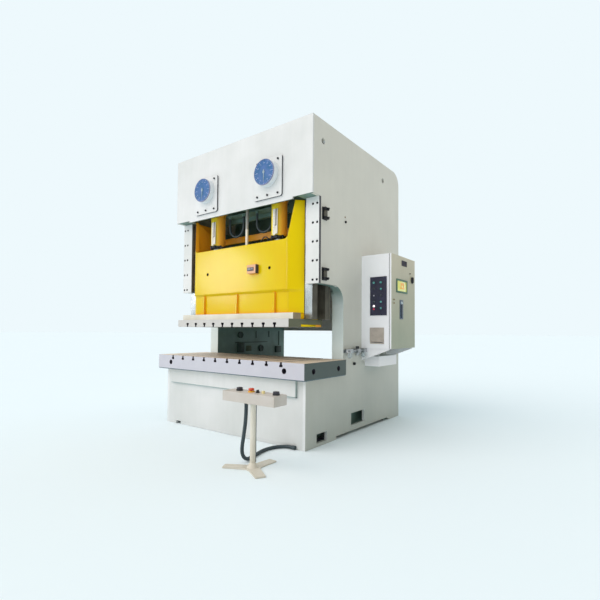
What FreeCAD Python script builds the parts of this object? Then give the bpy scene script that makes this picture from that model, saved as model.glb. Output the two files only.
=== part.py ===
# Two-point C-frame mechanical press, 2700 x 900 mm bolster, 280 mm stroke.
# Millimetres, +Z up, front of the press towards -Y. The origin lies on the floor,
# at the centre of the four anchor holes. The slide stands at bottom dead centre.
import FreeCAD, Part
import math
import os

import Sketcher

V = FreeCAD.Vector
os.makedirs("parts", exist_ok=True)
doc = FreeCAD.newDocument("press")
sheet = doc.addObject("Spreadsheet::Sheet", "Sizes")
nodes = []


# ---------------------------------------------------------------- sizes
class Dim:
    """A size: its value now, and the expression that ties a property to the sheet."""

    def __init__(self, value, text):
        self.value, self.text = float(value), text

    def __add__(self, other):
        other = dim(other)
        return Dim(self.value + other.value, f"({self.text} + {other.text})")

    def __sub__(self, other):
        other = dim(other)
        return Dim(self.value - other.value, f"({self.text} - {other.text})")

    def __mul__(self, other):
        other = dim(other)
        return Dim(self.value * other.value, f"({self.text} * {other.text})")

    def __truediv__(self, other):
        other = dim(other)
        return Dim(self.value / other.value, f"({self.text} / {other.text})")

    def __neg__(self):
        return Dim(-self.value, f"(0 - {self.text})")

    def __radd__(self, other):
        return dim(other) + self

    def __rsub__(self, other):
        return dim(other) - self

    def __rmul__(self, other):
        return dim(other) * self

    def __rtruediv__(self, other):
        return dim(other) / self


def dim(x):
    return x if isinstance(x, Dim) else Dim(x, f"({float(x)})")


def size(alias, value):
    """Write a driving size into the next row of the sheet and give it back."""
    size.row += 1
    sheet.set(f"A{size.row}", alias)
    sheet.set(f"B{size.row}", str(value))
    sheet.setAlias(f"B{size.row}", alias)
    return Dim(value, f"Sizes.{alias}")


size.row = 0


def root(x):
    return Dim(math.sqrt(x.value), f"sqrt({x.text})")


def sin(x):
    return Dim(math.sin(math.radians(x.value)), f"sin({x.text})")


def cos(x):
    return Dim(math.cos(math.radians(x.value)), f"cos({x.text})")


def tan(x):
    return Dim(math.tan(math.radians(x.value)), f"tan({x.text})")


def arccos(x):
    return Dim(math.degrees(math.acos(min(1.0, x.value))), f"(acos(min(1; {x.text})) / 1 deg)")


def arctan2(y, x):
    return Dim(math.degrees(math.atan2(y.value, x.value)), f"(atan2({y.text}; {x.text}) / 1 deg)")


# ---------------------------------------------------------------- modelling helpers
AXES = {"x": V(1, 0, 0), "y": V(0, 1, 0), "z": V(0, 0, 1)}
TURNS = {"x": FreeCAD.Rotation(V(1, 1, 1), 120),      # sketch u, v = Y, Z
         "y": FreeCAD.Rotation(V(1, 0, 0), 90),       # sketch u, v = X, Z
         "z": FreeCAD.Rotation()}                     # sketch u, v = X, Y
CYLINDER_TURNS = {"x": FreeCAD.Rotation(V(0, 1, 0), 90),
                  "y": FreeCAD.Rotation(V(1, 0, 0), -90),
                  "z": FreeCAD.Rotation()}


def bind(obj, **properties):
    for name, value in properties.items():
        obj.setExpression(name, dim(value).text)


def place(obj, x=0, y=0, z=0):
    for axis, value in (("x", x), ("y", y), ("z", z)):
        obj.setExpression(f"Placement.Base.{axis}", dim(value).text)


def along(axis, a, u, v):
    """Coordinates of a point at a on the axis and u, v on the other two, in X, Y, Z order."""
    return {"x": (a, u, v), "y": (u, a, v), "z": (u, v, a)}[axis]


def box(x0, x1, y0, y1, z0, z1):
    solid = doc.addObject("Part::Box", "Block")
    x0, x1, y0, y1, z0, z1 = map(dim, (x0, x1, y0, y1, z0, z1))
    bind(solid, Length=x1 - x0, Width=y1 - y0, Height=z1 - z0)
    place(solid, x0, y0, z0)
    return solid


def rod(axis, radius, a0, a1, u=0, v=0):
    solid = doc.addObject("Part::Cylinder", "Round")
    bind(solid, Radius=radius, Height=dim(a1) - a0)
    solid.Placement = FreeCAD.Placement(V(), CYLINDER_TURNS[axis])
    place(solid, *along(axis, a0, u, v))
    return solid


def cone(axis, radius0, radius1, a0, a1, u=0, v=0):
    solid = doc.addObject("Part::Cone", "Cone")
    bind(solid, Radius1=radius0, Radius2=radius1, Height=dim(a1) - a0)
    solid.Placement = FreeCAD.Placement(V(), CYLINDER_TURNS[axis])
    place(solid, *along(axis, a0, u, v))
    return solid


def ball(radius, x, y, z):
    solid = doc.addObject("Part::Sphere", "Ball")
    bind(solid, Radius=radius)
    place(solid, x, y, z)
    return solid


def outline(axis, points, at=0):
    """A closed sketch square to the axis; each point is (u, v) or (u, v, corner radius)."""
    sketch = doc.addObject("Sketcher::SketchObject", "Outline")
    draw_outline(sketch, points)
    sketch.Placement = FreeCAD.Placement(V(), TURNS[axis])
    place(sketch, *along(axis, at, 0, 0))
    return sketch


def draw_outline(sketch, points):
    points = [tuple(map(dim, p)) for p in points]
    count = len(points)
    corners = [V(p[0].value, p[1].value, 0) for p in points]
    radii = [p[2] if len(p) > 2 else None for p in points]
    starts, ends, arcs = list(corners), list(corners), {}
    for i, radius in enumerate(radii):
        if radius is None:
            continue
        before = (corners[i - 1] - corners[i]).normalize()
        after = (corners[(i + 1) % count] - corners[i]).normalize()
        half = before.getAngle(after) / 2
        reach = radius.value / math.tan(half)
        middle = corners[i] + (before + after).normalize() * (radius.value / math.sin(half))
        ends[i - 1 if i else count - 1] = None
        t0, t1 = corners[i] + before * reach, corners[i] + after * reach
        arcs[i] = (middle, t0, t1)
    line_start = [arcs[i][2] if i in arcs else corners[i] for i in range(count)]
    line_end = [arcs[(i + 1) % count][1] if (i + 1) % count in arcs else corners[(i + 1) % count]
                for i in range(count)]
    lines = [Part.LineSegment(a, b) for a, b in zip(line_start, line_end)]
    sketch.addGeometry(lines, False)
    sketch.addGeometry([Part.Point(c) for c in corners], True)
    rules, bound = [], []
    for i, point in enumerate(points):
        mark = count + i
        for kind, value in (("DistanceX", point[0]), ("DistanceY", point[1])):
            bound.append((len(rules), value))
            rules.append(Sketcher.Constraint(kind, -1, 1, mark, 1, value.value))
        if i in arcs:
            rules.append(Sketcher.Constraint("PointOnObject", mark, 1, i - 1 if i else count - 1))
            rules.append(Sketcher.Constraint("PointOnObject", mark, 1, i))
        else:
            rules.append(Sketcher.Constraint("Coincident", i - 1 if i else count - 1, 2, mark, 1))
            rules.append(Sketcher.Constraint("Coincident", i, 1, mark, 1))
    for i, (middle, t0, t1) in arcs.items():
        a0 = math.atan2(t0.y - middle.y, t0.x - middle.x)
        a1 = math.atan2(t1.y - middle.y, t1.x - middle.x)
        turn = (t0 - middle).cross(t1 - middle).z > 0
        circle = Part.Circle(middle, V(0, 0, 1), radii[i].value)
        arc = sketch.addGeometry(Part.ArcOfCircle(circle, a0, a1) if turn
                                 else Part.ArcOfCircle(circle, a1, a0), False)
        first, last = (1, 2) if turn else (2, 1)
        rules.append(Sketcher.Constraint("Tangent", i - 1 if i else count - 1, 2, arc, first))
        rules.append(Sketcher.Constraint("Tangent", arc, last, i, 1))
        bound.append((len(rules), radii[i]))
        rules.append(Sketcher.Constraint("Radius", arc, radii[i].value))
    sketch.addConstraint(rules)
    for index, value in bound:
        sketch.setExpression(f"Constraints[{index}]", value.text)


def prism(axis, points, a0, a1):
    solid = doc.addObject("Part::Extrusion", "Plate")
    solid.Base = outline(axis, points, a0)
    solid.DirMode = "Custom"
    solid.Dir = AXES[axis]
    solid.Solid = True
    bind(solid, LengthFwd=dim(a1) - a0)
    return solid


def fuse(*solids):
    if len(solids) == 1:
        return solids[0]
    joined = doc.addObject("Part::MultiFuse", "Welded")
    joined.Shapes = list(solids)
    return joined


def group(*solids):
    together = doc.addObject("Part::Compound", "Set")
    together.Links = list(solids)
    return together


def cut(solid, *tools):
    part = doc.addObject("Part::Cut", "Machined")
    part.Base, part.Tool = solid, group(*tools) if len(tools) > 1 else tools[0]
    return part


def mirrored(solid):
    copy = doc.addObject("Part::Mirroring", "OtherHand")
    copy.Source = solid
    copy.Normal, copy.Base = V(1, 0, 0), V(0, 0, 0)
    return copy


def both(solid):
    return group(solid, mirrored(solid))


def node(label, solid):
    solid.Label = label
    nodes.append(solid)
    return solid


# ---------------------------------------------------------------- frame
frame_width = size("frame_width", 2570)
base_depth = size("base_depth", 2560)
frame_height = size("frame_height", 3950)
side_thick = size("side_plate_thickness", 40)
bed_height = size("bed_height", 810)
throat_depth = size("throat_depth", 820)
throat_height = size("throat_height", 1945)
throat_radius = size("throat_corner_radius", 220)
column_setback = size("column_setback", 290)
crown_setback = size("crown_setback", 112)
crown_floor = size("crown_floor_height", 3000)
crown_radius = size("crown_corner_radius", 200)
front_foot = size("front_foot_length", 660)
rear_foot = size("rear_foot_length", 350)
foot_slope = size("foot_slope", 90)
foot_step = size("foot_step", 40)
front_plate_thick = size("base_front_thickness", 40)
fascia_thick = size("fascia_thickness", 22)
shell_thick = size("shell_thickness", 25)

outer = frame_width / 2
inner = outer - side_thick
front = -base_depth / 2
rear = base_depth / 2
throat_face = front + throat_depth
column_front = front + column_setback
fascia_front = front + crown_setback
fascia_back = fascia_front + fascia_thick

window = {name: size(f"side_window_{name}", value) for name, value in (
    ("front_from", 225), ("front_length", 225), ("front_low", 38), ("front_high", 148),
    ("rear_from", 1030), ("rear_length", 370), ("rear_low", 110), ("rear_high", 272))}
lift_hole_radius = size("lift_hole_radius", 38)
lift_hole_height = size("lift_hole_height", 3690)
lift_hole_front = size("lift_hole_front", 331)
lift_hole_rear = size("lift_hole_rear", 1973)

gib_screw_radius = size("gib_screw_radius", 10)
gib_screw_from_front = size("gib_screw_from_front", 365)
adjuster_height = size("adjuster_height", 156)
adjuster_low = size("adjuster_low", 1981)
adjuster_high = size("adjuster_high", 2722)
gib_screw_heights = [low + adjuster_height * share for low in (adjuster_low, adjuster_high)
                     for share in (0.2, 0.8)]
gib_screw_y = front + gib_screw_from_front


def side_plate():
    plate = prism("x", [
        (front, 0), (front, bed_height), (throat_face, bed_height),
        (throat_face, throat_height, throat_radius), (column_front, throat_height),
        (column_front, crown_floor), (fascia_back, crown_floor), (fascia_back, frame_height),
        (rear, frame_height, crown_radius), (rear, 0), (rear - rear_foot, 0),
        (rear - rear_foot - foot_slope, foot_step), (front + front_foot, foot_step),
        (front + front_foot, 0)], inner, outer)
    through = (inner - 1, outer + 1)
    windows = [box(*through, front + window[f"{side}_from"],
                   front + window[f"{side}_from"] + window[f"{side}_length"],
                   window[f"{side}_low"], window[f"{side}_high"]) for side in ("front", "rear")]
    eyes = [rod("x", lift_hole_radius, *through, front + hole, lift_hole_height)
            for hole in (lift_hole_front, lift_hole_rear)]
    screws = [rod("x", gib_screw_radius + 1, *through, gib_screw_y, z) for z in gib_screw_heights]
    return cut(plate, *windows, *eyes, *screws)


node("side_plates", both(side_plate()))

# box columns behind the throat: liner on the throat's edge and inner plate
throat_half = size("throat_half_width", 1112)
column_plate = size("column_plate_thickness", 30)
slide_space_half = size("slide_space_half_width", 1165)
slide_space_depth = size("slide_space_depth", 785)
column_top = size("column_top_height", 2975)


def column_box():
    liner_back = throat_face + column_plate
    liner = prism("x", [
        (throat_face, bed_height), (throat_face, throat_height, throat_radius),
        (column_front, throat_height), (column_front, throat_height + column_plate),
        (liner_back, throat_height + column_plate, throat_radius + column_plate),
        (liner_back, bed_height)], throat_half, inner)
    plate = prism("x", [
        (front + front_plate_thick, foot_step), (front + front_plate_thick, bed_height - bed_thick),
        (liner_back, bed_height - bed_thick), (liner_back, column_top),
        (rear - shell_thick, column_top), (rear - shell_thick, foot_step)],
        throat_half, throat_half + column_plate)
    bar = box(slide_space_half, inner, column_front, column_front + column_plate,
              throat_height, crown_floor)
    slide_space = box(throat_half - 1, slide_space_half, column_front - 1,
                      front + slide_space_depth, bed_height + 600, frame_height)
    return cut(fuse(liner, plate, bar), slide_space)


bed_thick = size("bed_plate_thickness", 40)
node("column_boxes", both(column_box()))

# crown: bearing positions of the two crankshafts
press_centre = front + size("press_centre_from_front", 335)
ram_stroke = size("ram_stroke", 280)
crank_spacing = size("crank_spacing", 1182)
crank_height = size("crank_height", 3365)
crank_x = crank_spacing / 2
crank_throw = ram_stroke / 2
pin_height = crank_height - crank_throw
running_gap = size("running_clearance", 0.08)
fit_gap = size("fit_clearance", 0.3)

# crown front: fascia with its lip and two corner floors
lip_half = size("fascia_lip_half_width", 985)
lip_drop = size("fascia_lip_drop", 25)
corner_floor_from = size("corner_floor_from", 1050)
corner_floor_thick = size("corner_floor_thickness", 20)
bearing_sleeve_radius = size("bearing_sleeve_radius", 125)


def crown_front():
    face = box(-outer, outer, fascia_front, fascia_back, crown_floor, frame_height)
    lip = box(-lip_half, lip_half, fascia_front, fascia_back, crown_floor - lip_drop, crown_floor)
    floor = box(corner_floor_from, inner, fascia_back, column_front, crown_floor,
                crown_floor + corner_floor_thick)
    other = box(-inner, -corner_floor_from, fascia_back, column_front, crown_floor,
                crown_floor + corner_floor_thick)
    holes = [rod("y", bearing_sleeve_radius, fascia_front - 1, fascia_back + 1, x, crank_height)
             for x in (crank_x, -crank_x)]
    return cut(fuse(face, lip, floor, other), *holes)


node("crown_front_plate", crown_front())

# crown shell: one bent plate over the top, round the rear corner and down the back
rear_plate_low = size("rear_plate_low", 1370)
clutch_boss_radius = size("clutch_boss_radius", 120)
shell_under = frame_height - shell_thick
shell_inside = rear - shell_thick


def crown_shell():
    bent = prism("x", [
        (fascia_back, shell_under), (fascia_back, frame_height), (rear, frame_height, crown_radius),
        (rear, rear_plate_low), (shell_inside, rear_plate_low),
        (shell_inside, shell_under, crown_radius - shell_thick)], -inner, inner)
    boss = rod("y", clutch_boss_radius, shell_inside - 40, rear + 15, 0, clutch_z)
    bore = rod("y", clutch_shaft_radius + running_gap, shell_inside - 41, rear + 16, 0, clutch_z)
    return cut(fuse(bent, boss), bore)


# gear train: sizes that place the shafts
module = size("gear_module", 14)
main_teeth = size("main_gear_teeth", 62)
pinion_teeth = size("pinion_teeth", 14)
second_teeth = size("second_gear_teeth", 38)
clutch_teeth = size("clutch_pinion_teeth", 12)
backlash = size("gear_backlash", 3)
crank_shaft_radius = size("crankshaft_radius", 80)
front_journal_radius = size("front_journal_radius", 70)
pinion_shaft_radius = size("pinion_shaft_radius", 50)
clutch_shaft_radius = size("clutch_shaft_radius", 60)

pinion_x = module * pinion_teeth / 2
main_to_pinion = module * (main_teeth + pinion_teeth) / 2
pinion_z = crank_height + root(main_to_pinion * main_to_pinion
                               - (crank_x - pinion_x) * (crank_x - pinion_x))
second_to_clutch = module * (second_teeth + clutch_teeth) / 2
clutch_z = pinion_z - root(second_to_clutch * second_to_clutch - pinion_x * pinion_x)

node("crown_shell", crown_shell())

# crown bulkheads: they carry the crankshafts, the pinion shafts and the clutch shaft
bulkhead_front_at = size("front_bulkhead_at", 545)
bulkhead_front_thick = size("front_bulkhead_thickness", 55)
bulkhead_mid_at = size("middle_bulkhead_at", 1310)
bulkhead_rear_at = size("rear_bulkhead_at", 1560)
bulkhead_thick = size("bulkhead_thickness", 50)
horn_notch_half = size("horn_notch_half_width", 860)
horn_notch_height = size("horn_notch_height", 3440)
boss_wall = size("bearing_boss_wall", 35)
crank_boss_radius = crank_shaft_radius + boss_wall
front_bulkhead = front + bulkhead_front_at
mid_bulkhead = front + bulkhead_mid_at
rear_bulkhead = front + bulkhead_rear_at


oil_hose_radius = size("oil_hose_radius", 17)
hose_y = press_centre + size("oil_hose_back", 65)
oil_bracket_low = size("oil_bracket_height", 3030)
oil_bracket_half = size("oil_bracket_half_width", 450)
oil_hose_inner_x = size("oil_hose_inner_x", 130)
oil_hose_outer_x = size("oil_hose_outer_x", 410)
oil_hose_low = size("oil_hose_low", 2722)
oil_socket = size("oil_socket_length", 30)


def oil_bracket():
    """A shelf on the front bulkhead with the sockets of the two oil hoses."""
    shelf = box(-oil_bracket_half, oil_bracket_half, hose_y - 25, front_bulkhead, oil_bracket_low,
                oil_bracket_low + 12)
    sockets = [rod("z", oil_hose_radius + 7, oil_bracket_low - oil_socket, oil_bracket_low + 2, x,
                   hose_y) for x in (oil_hose_inner_x, oil_hose_outer_x, -oil_hose_inner_x,
                                     -oil_hose_outer_x)]
    return fuse(shelf, *sockets)


def bulkheads():
    boss_front = front_bulkhead - 15
    first = fuse(box(-inner, inner, front_bulkhead, front_bulkhead + bulkhead_front_thick,
                     column_top, shell_under),
                 *[rod("y", crank_boss_radius, boss_front,
                       front_bulkhead + bulkhead_front_thick + 40, x, crank_height)
                   for x in (crank_x, -crank_x)])
    notches = [box(a, b, front_bulkhead - 1, front_bulkhead + bulkhead_front_thick + 1,
                   column_top - 1, horn_notch_height)
               for a, b in ((horn_notch_half, inner + 1), (-inner - 1, -horn_notch_half))]
    bores = [rod("y", crank_shaft_radius + running_gap, front_bulkhead - 20, rear_bulkhead + 100,
                 x, crank_height) for x in (crank_x, -crank_x)]
    pinion_bores = [rod("y", pinion_shaft_radius + running_gap, mid_bulkhead - 10,
                        rear_bulkhead + 100, x, pinion_z) for x in (pinion_x, -pinion_x)]
    middle = box(-inner, inner, mid_bulkhead, mid_bulkhead + bulkhead_thick,
                 column_top, shell_under)
    last = box(-inner, inner, rear_bulkhead, rear_bulkhead + bulkhead_thick,
               column_top, shell_under)
    clutch_bore = rod("y", clutch_shaft_radius + running_gap, rear_bulkhead - 1,
                      rear_bulkhead + bulkhead_thick + 1, 0, clutch_z)
    return group(cut(first, *notches, *bores), cut(middle, *bores, *pinion_bores),
                 cut(last, *bores, *pinion_bores, clutch_bore), oil_bracket())


node("crown_bulkheads", bulkheads())

# base: front plate with its proud bed panel, bed plate, cross plates and anchor pads
bed_panel_half = size("bed_panel_half_width", 1160)
bed_panel_thick = size("bed_panel_thickness", 30)
bed_panel_low = size("bed_panel_low", 602)
foot_pad_from = size("foot_pad_from", 1070)
cross_plate_thick = size("cross_plate_thickness", 30)
hose_gland_x = size("hose_gland_x", 1120)
hose_gland_height = size("hose_gland_height", 24)
hose_gland_reach = size("hose_gland_reach", 20)
hose_radius = size("pedestal_hose_radius", 19)
anchor_radius = size("anchor_hole_radius", 21)
anchor_x = size("anchor_spacing_across", 2310) / 2
anchor_y = size("anchor_spacing_along", 2000) / 2
pad_thick = size("foot_pad_thickness", 40)
pad_length = size("foot_pad_length", 420)


def base_front():
    face = prism("y", [
        (-inner, 0), (-foot_pad_from, 0), (-foot_pad_from, foot_step), (foot_pad_from, foot_step),
        (foot_pad_from, 0), (inner, 0), (inner, bed_height), (-inner, bed_height)],
        front, front + front_plate_thick)
    panel = box(-bed_panel_half, bed_panel_half, front - bed_panel_thick, front,
                bed_panel_low, bed_height)
    gland = rod("x", hose_radius + 4, hose_gland_x, hose_gland_x + 40, front - hose_gland_reach,
                hose_gland_height)
    return fuse(face, panel, gland)


def cross_plates():
    under_bed = bed_height - bed_thick
    ribs = [box(x - cross_plate_thick / 2, x + cross_plate_thick / 2, front + front_plate_thick,
                throat_face, foot_step, under_bed) for x in (-600, 0, 600)]
    back = box(-throat_half, throat_half, throat_face, throat_face + cross_plate_thick,
               foot_step, under_bed)
    rear_plate = box(-inner, inner, shell_inside, rear, foot_step, bed_height)
    pads = []
    for y0, y1, y in ((-anchor_y - pad_length / 2, -anchor_y + pad_length / 2, -anchor_y),
                      (anchor_y - pad_length / 2, anchor_y + pad_length / 2, anchor_y)):
        for x0, x1, x in ((foot_pad_from, inner, anchor_x), (-inner, -foot_pad_from, -anchor_x)):
            pads.append(cut(box(x0, x1, y0, y1, 0, pad_thick),
                            rod("z", anchor_radius, -1, pad_thick + 1, x, y)))
    bed = box(-inner, inner, front + front_plate_thick, throat_face + column_plate, under_bed,
              bed_height)
    return group(bed, *ribs, back, rear_plate, *pads)


node("base_front_plate", base_front())
node("bed_structure", cross_plates())

# ---------------------------------------------------------------- bolster and slide plate
slot_count = 10
slot_neck = size("slot_neck_width", 28)
slot_neck_depth = size("slot_neck_depth", 30)
slot_head = size("slot_head_width", 50)
slot_head_depth = size("slot_head_depth", 26)


def slotted_plate(width, depth, thick, pitch, base_z, face_up):
    """A plate with T-slots along its depth, padded, pocketed once and patterned."""
    body = doc.addObject("PartDesign::Body", "Slotted")
    blank = body.newObject("Sketcher::SketchObject", "Blank")
    draw_outline(blank, [(-width / 2, -depth / 2), (width / 2, -depth / 2),
                         (width / 2, depth / 2), (-width / 2, depth / 2)])
    pad = body.newObject("PartDesign::Pad", "Plate")
    pad.Profile = blank
    bind(pad, Length=thick)
    slot = body.newObject("Sketcher::SketchObject", "Slot")
    first = -pitch * (slot_count - 1) / 2
    face, way = (thick, 1) if face_up else (dim(0), -1)
    deep, over = face - slot_neck_depth * way, face + dim(1) * way
    draw_outline(slot, [
        (first - slot_neck / 2, over), (first - slot_neck / 2, deep),
        (first - slot_head / 2, deep), (first - slot_head / 2, deep - slot_head_depth * way),
        (first + slot_head / 2, deep - slot_head_depth * way), (first + slot_head / 2, deep),
        (first + slot_neck / 2, deep), (first + slot_neck / 2, over)])
    slot.Placement = FreeCAD.Placement(V(), TURNS["y"])
    pocket = body.newObject("PartDesign::Pocket", "TSlot")
    pocket.Profile = slot
    pocket.Type = "ThroughAll"
    pocket.Midplane = True
    row = body.newObject("PartDesign::LinearPattern", "SlotRow")
    row.Originals = [pocket]
    row.Direction = (slot, ["H_Axis"])
    row.Occurrences = slot_count
    bind(row, Length=pitch * (slot_count - 1))
    body.Tip = row
    place(body, 0, press_centre, base_z)
    return body


bolster_width = size("bolster_width", 2700)
bolster_depth = size("bolster_depth", 900)
bolster_thick = size("bolster_thickness", 190)
bolster_pitch = size("bolster_slot_pitch", 225)
bolster_hole_radius = size("bolster_hole_radius", 33)
bolster_hole_drop = size("bolster_hole_drop", 100)
bolster_hole_depth = size("bolster_hole_depth", 80)
bolster_top = bed_height + bolster_thick


def bolster():
    plate = slotted_plate(bolster_width, bolster_depth, bolster_thick, bolster_pitch,
                          bed_height, True)
    near = press_centre - bolster_depth / 2
    z = bolster_top - bolster_hole_drop
    side = bolster_width / 2
    holes = [rod("y", bolster_hole_radius, near - 1, near + bolster_hole_depth, x, z)
             for x in (dim(-1060), dim(1060))]
    holes += [rod("x", bolster_hole_radius, side - bolster_hole_depth, side + 1,
                  press_centre + y, z) for y in (-270, 270)]
    holes += [rod("x", bolster_hole_radius, -side - 1, -side + bolster_hole_depth,
                  press_centre + y, z) for y in (-270, 270)]
    return cut(plate, *holes)


node("bolster", bolster())

die_height = size("die_height", 410)
slide_low = bolster_top + die_height
slide_plate_width = size("slide_plate_width", 2080)
slide_plate_depth = size("slide_plate_depth", 700)
slide_plate_thick = size("slide_plate_thickness", 100)
slide_pitch = size("slide_slot_pitch", 183)
node("slide_plate", slotted_plate(slide_plate_width, slide_plate_depth, slide_plate_thick,
                                  slide_pitch, slide_low, False))
plate_top = slide_low + slide_plate_thick

# ---------------------------------------------------------------- slide
side_half = slide_plate_width / 2
bar_front = press_centre - size("front_bar_reach", 265)
bar_depth = size("front_bar_depth", 150)
bar_height = size("front_bar_height", 75)
panel_front = press_centre - size("slide_front_reach", 190)
panel_half = size("slide_panel_half_width", 875)
panel_thick = size("slide_panel_thickness", 45)
panel_recess = size("lower_panel_recess", 25)
panel_corner = size("panel_corner_radius", 60)
web_thick = size("slide_web_thickness", 30)
slide_back = press_centre + size("slide_back_reach", 355)
web_front = press_centre - size("slide_web_reach", 43)
bend_height = size("bend_height", 440)
bend_band = size("bend_band", 30)
deck_height = size("deck_height", 1100)
horn_height = size("horn_height", 1585)
horn_top_half = size("horn_top_half_width", 948)
rod_hole_x = size("rod_hole_length", 330)
rod_hole_y = size("rod_hole_width", 284)
partition_drop = size("partition_drop", 230)
hose_slot_from = size("hose_slot_from", 100)
hose_slot_to = size("hose_slot_to", 435)
hose_slot_half = size("hose_slot_half_width", 34)

deck_top = slide_low + deck_height
horn_top = slide_low + horn_height


def strip_plan(inset):
    """The bent front plate seen from above; inset draws its face back."""
    face, back = panel_front + inset, panel_front + panel_thick
    return [(-side_half, web_front), (-panel_half, face, panel_corner),
            (panel_half, face, panel_corner), (side_half, web_front),
            (side_half - web_thick, web_front + 20), (panel_half - 28, back),
            (-panel_half + 28, back), (-side_half + web_thick, web_front + 20)]


def inside_plan(near, corner, far):
    """A level plate between the bent front plate and the back, seen from above."""
    return [(-side_half + 10, web_front + 10), (-corner, near), (corner, near),
            (side_half - 10, web_front + 10), (side_half - 10, far), (-side_half + 10, far)]


def slide_body():
    low_top = slide_low + bend_height
    bar_top = plate_top + bar_height
    lower = prism("z", strip_plan(panel_recess), bar_top, low_top)
    band = doc.addObject("Part::Loft", "Band")
    band.Sections = [outline("z", strip_plan(panel_recess), low_top),
                     outline("z", strip_plan(dim(0)), low_top + bend_band)]
    band.Solid, band.Ruled = True, True
    upper = prism("z", strip_plan(dim(0)), low_top + bend_band, horn_top)
    saddle = prism("y", [
        (-panel_half, deck_top, 60), (panel_half, deck_top, 60),
        (horn_top_half + 2, horn_top + 16), (-horn_top_half - 2, horn_top + 16)],
        panel_front - 5, web_front + 20)
    floor = prism("z", inside_plan(bar_front + bar_depth, floor_corner, slide_back), plate_top,
                  bar_top)
    deck = prism("z", inside_plan(panel_front + 20, panel_half - 14, slide_back - 10),
                 deck_top - web_thick, deck_top)
    back = box(-side_half + 10, side_half - 10, slide_back - web_thick, slide_back,
               bar_top - 5, deck_top)
    webs = [box(x0, x1, web_front, slide_back, plate_top + 10, horn_top)
            for x0, x1 in ((side_half - web_thick, side_half), (-side_half, -side_half + web_thick))]
    webs += [box(x - web_thick / 2, x + web_thick / 2, panel_front + panel_thick - 10,
                 slide_back - 10, bar_top - 5, deck_top - partition_drop)
             for x in (-partition_x, partition_x)]
    cross_bar = box(-stay_x - 5, stay_x + 5, slide_back - cross_bar_thick - 15, slide_back - 15,
                    deck_top + stay_height - cross_bar_height, deck_top + stay_height)
    stays = [prism("x", [
        (web_front - 30, deck_top - 10), (web_front - 30, horn_top - 15),
        (slide_back - 40, deck_top + stay_height), (slide_back - 10, deck_top + stay_height),
        (slide_back - 10, deck_top - 10)], x0, x1)
        for x0, x1 in ((stay_x, stay_x + 20), (-stay_x - 20, -stay_x))]
    ribs = [prism("x", [
        (panel_front + panel_thick - 10, bar_top - 2), (panel_front - 8, bar_top - 2),
        (panel_front, low_top), (panel_front + panel_thick - 10, low_top)],
        x - rib_thick / 2, x + rib_thick / 2) for x in (-rib_x, dim(0), rib_x)]
    under = box(-side_half, side_half, panel_front - 10, bar_front + bar_depth, plate_top, bar_top)
    whole = fuse(lower, band, cut(upper, saddle), floor, deck, back, cross_bar, *webs, *stays,
                 *ribs)
    openings = [under]
    half, reach = rod_hole_y / 2, (rod_hole_x - rod_hole_y) / 2
    through = (deck_top - web_thick - 1, deck_top + 1)
    for x in (crank_x, -crank_x):
        openings += [rod("z", half, *through, x + side * reach, press_centre) for side in (1, -1)]
        openings.append(box(x - reach, x + reach, press_centre - half, press_centre + half,
                            *through))
    for x0, x1 in ((hose_slot_from, hose_slot_to), (-hose_slot_to, -hose_slot_from)):
        openings.append(box(x0, x1, hose_y - hose_slot_half, hose_y + hose_slot_half, *through))
    openings += [rod("y", 20, panel_front - 1, panel_front + 30, x, slide_low + tapped_height)
                 for x in (-tapped_x, tapped_x)]
    return cut(whole, *openings)


partition_x = size("partition_x", 300)
stay_x = size("horn_stay_x", 950)
stay_height = size("horn_stay_rear_height", 280)
cross_bar_height = size("horn_cross_bar_height", 90)
cross_bar_thick = size("horn_cross_bar_thickness", 30)
floor_corner = panel_half + size("floor_corner_reach", 60)
rib_x = size("front_rib_x", 670)
rib_thick = size("front_rib_thickness", 25)
tapped_x = size("tapped_hole_x", 592)
tapped_height = size("tapped_hole_height", 757)
node("slide_front_bar", box(-side_half, side_half, bar_front, bar_front + bar_depth, plate_top,
                            plate_top + bar_height))
node("slide_body", slide_body())

# guide rails on the four corners of the slide, and the gibs that hold them
rail_width = size("rail_width", 115)
rail_depth = size("rail_depth", 110)
rail_half = side_half + rail_width
rail_top = horn_top + 5
front_rail = web_front + 8
rear_rail_end = slide_back + 10
rear_rail = rear_rail_end - rail_depth
liner_thick = size("liner_thickness", 10)
gib_plate_from = size("gib_plate_from", 1090)
gib_plate_low = size("gib_plate_low", 1940)
side_gib_thick = size("side_gib_thickness", 46)

rails = [box(side_half, rail_half, y, y + rail_depth, plate_top, rail_top)
         for y in (front_rail, rear_rail)]
node("guide_rails", both(group(*rails)))

gib_plate_front = front_rail - liner_thick - running_gap - 40
gib_bolt_low = size("gib_bolt_low", 1985)
gib_bolt_pitch = size("gib_bolt_pitch", 232)
gib_bolt_heights = [gib_bolt_low + gib_bolt_pitch * i for i in range(5)]
gib_bolt_xs = (dim(1193), dim(1256))
gib_bolt_radius = size("gib_bolt_radius", 12)


def gib_plate():
    plate = box(gib_plate_from, outer, gib_plate_front, column_front, gib_plate_low,
                crown_floor - 2)
    holes = [rod("y", gib_bolt_radius + 4, gib_plate_front - 1, gib_plate_front + 14, x, z)
             for x in gib_bolt_xs for z in gib_bolt_heights]
    return cut(plate, *holes)


node("front_gib_plates", both(gib_plate()))


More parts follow.
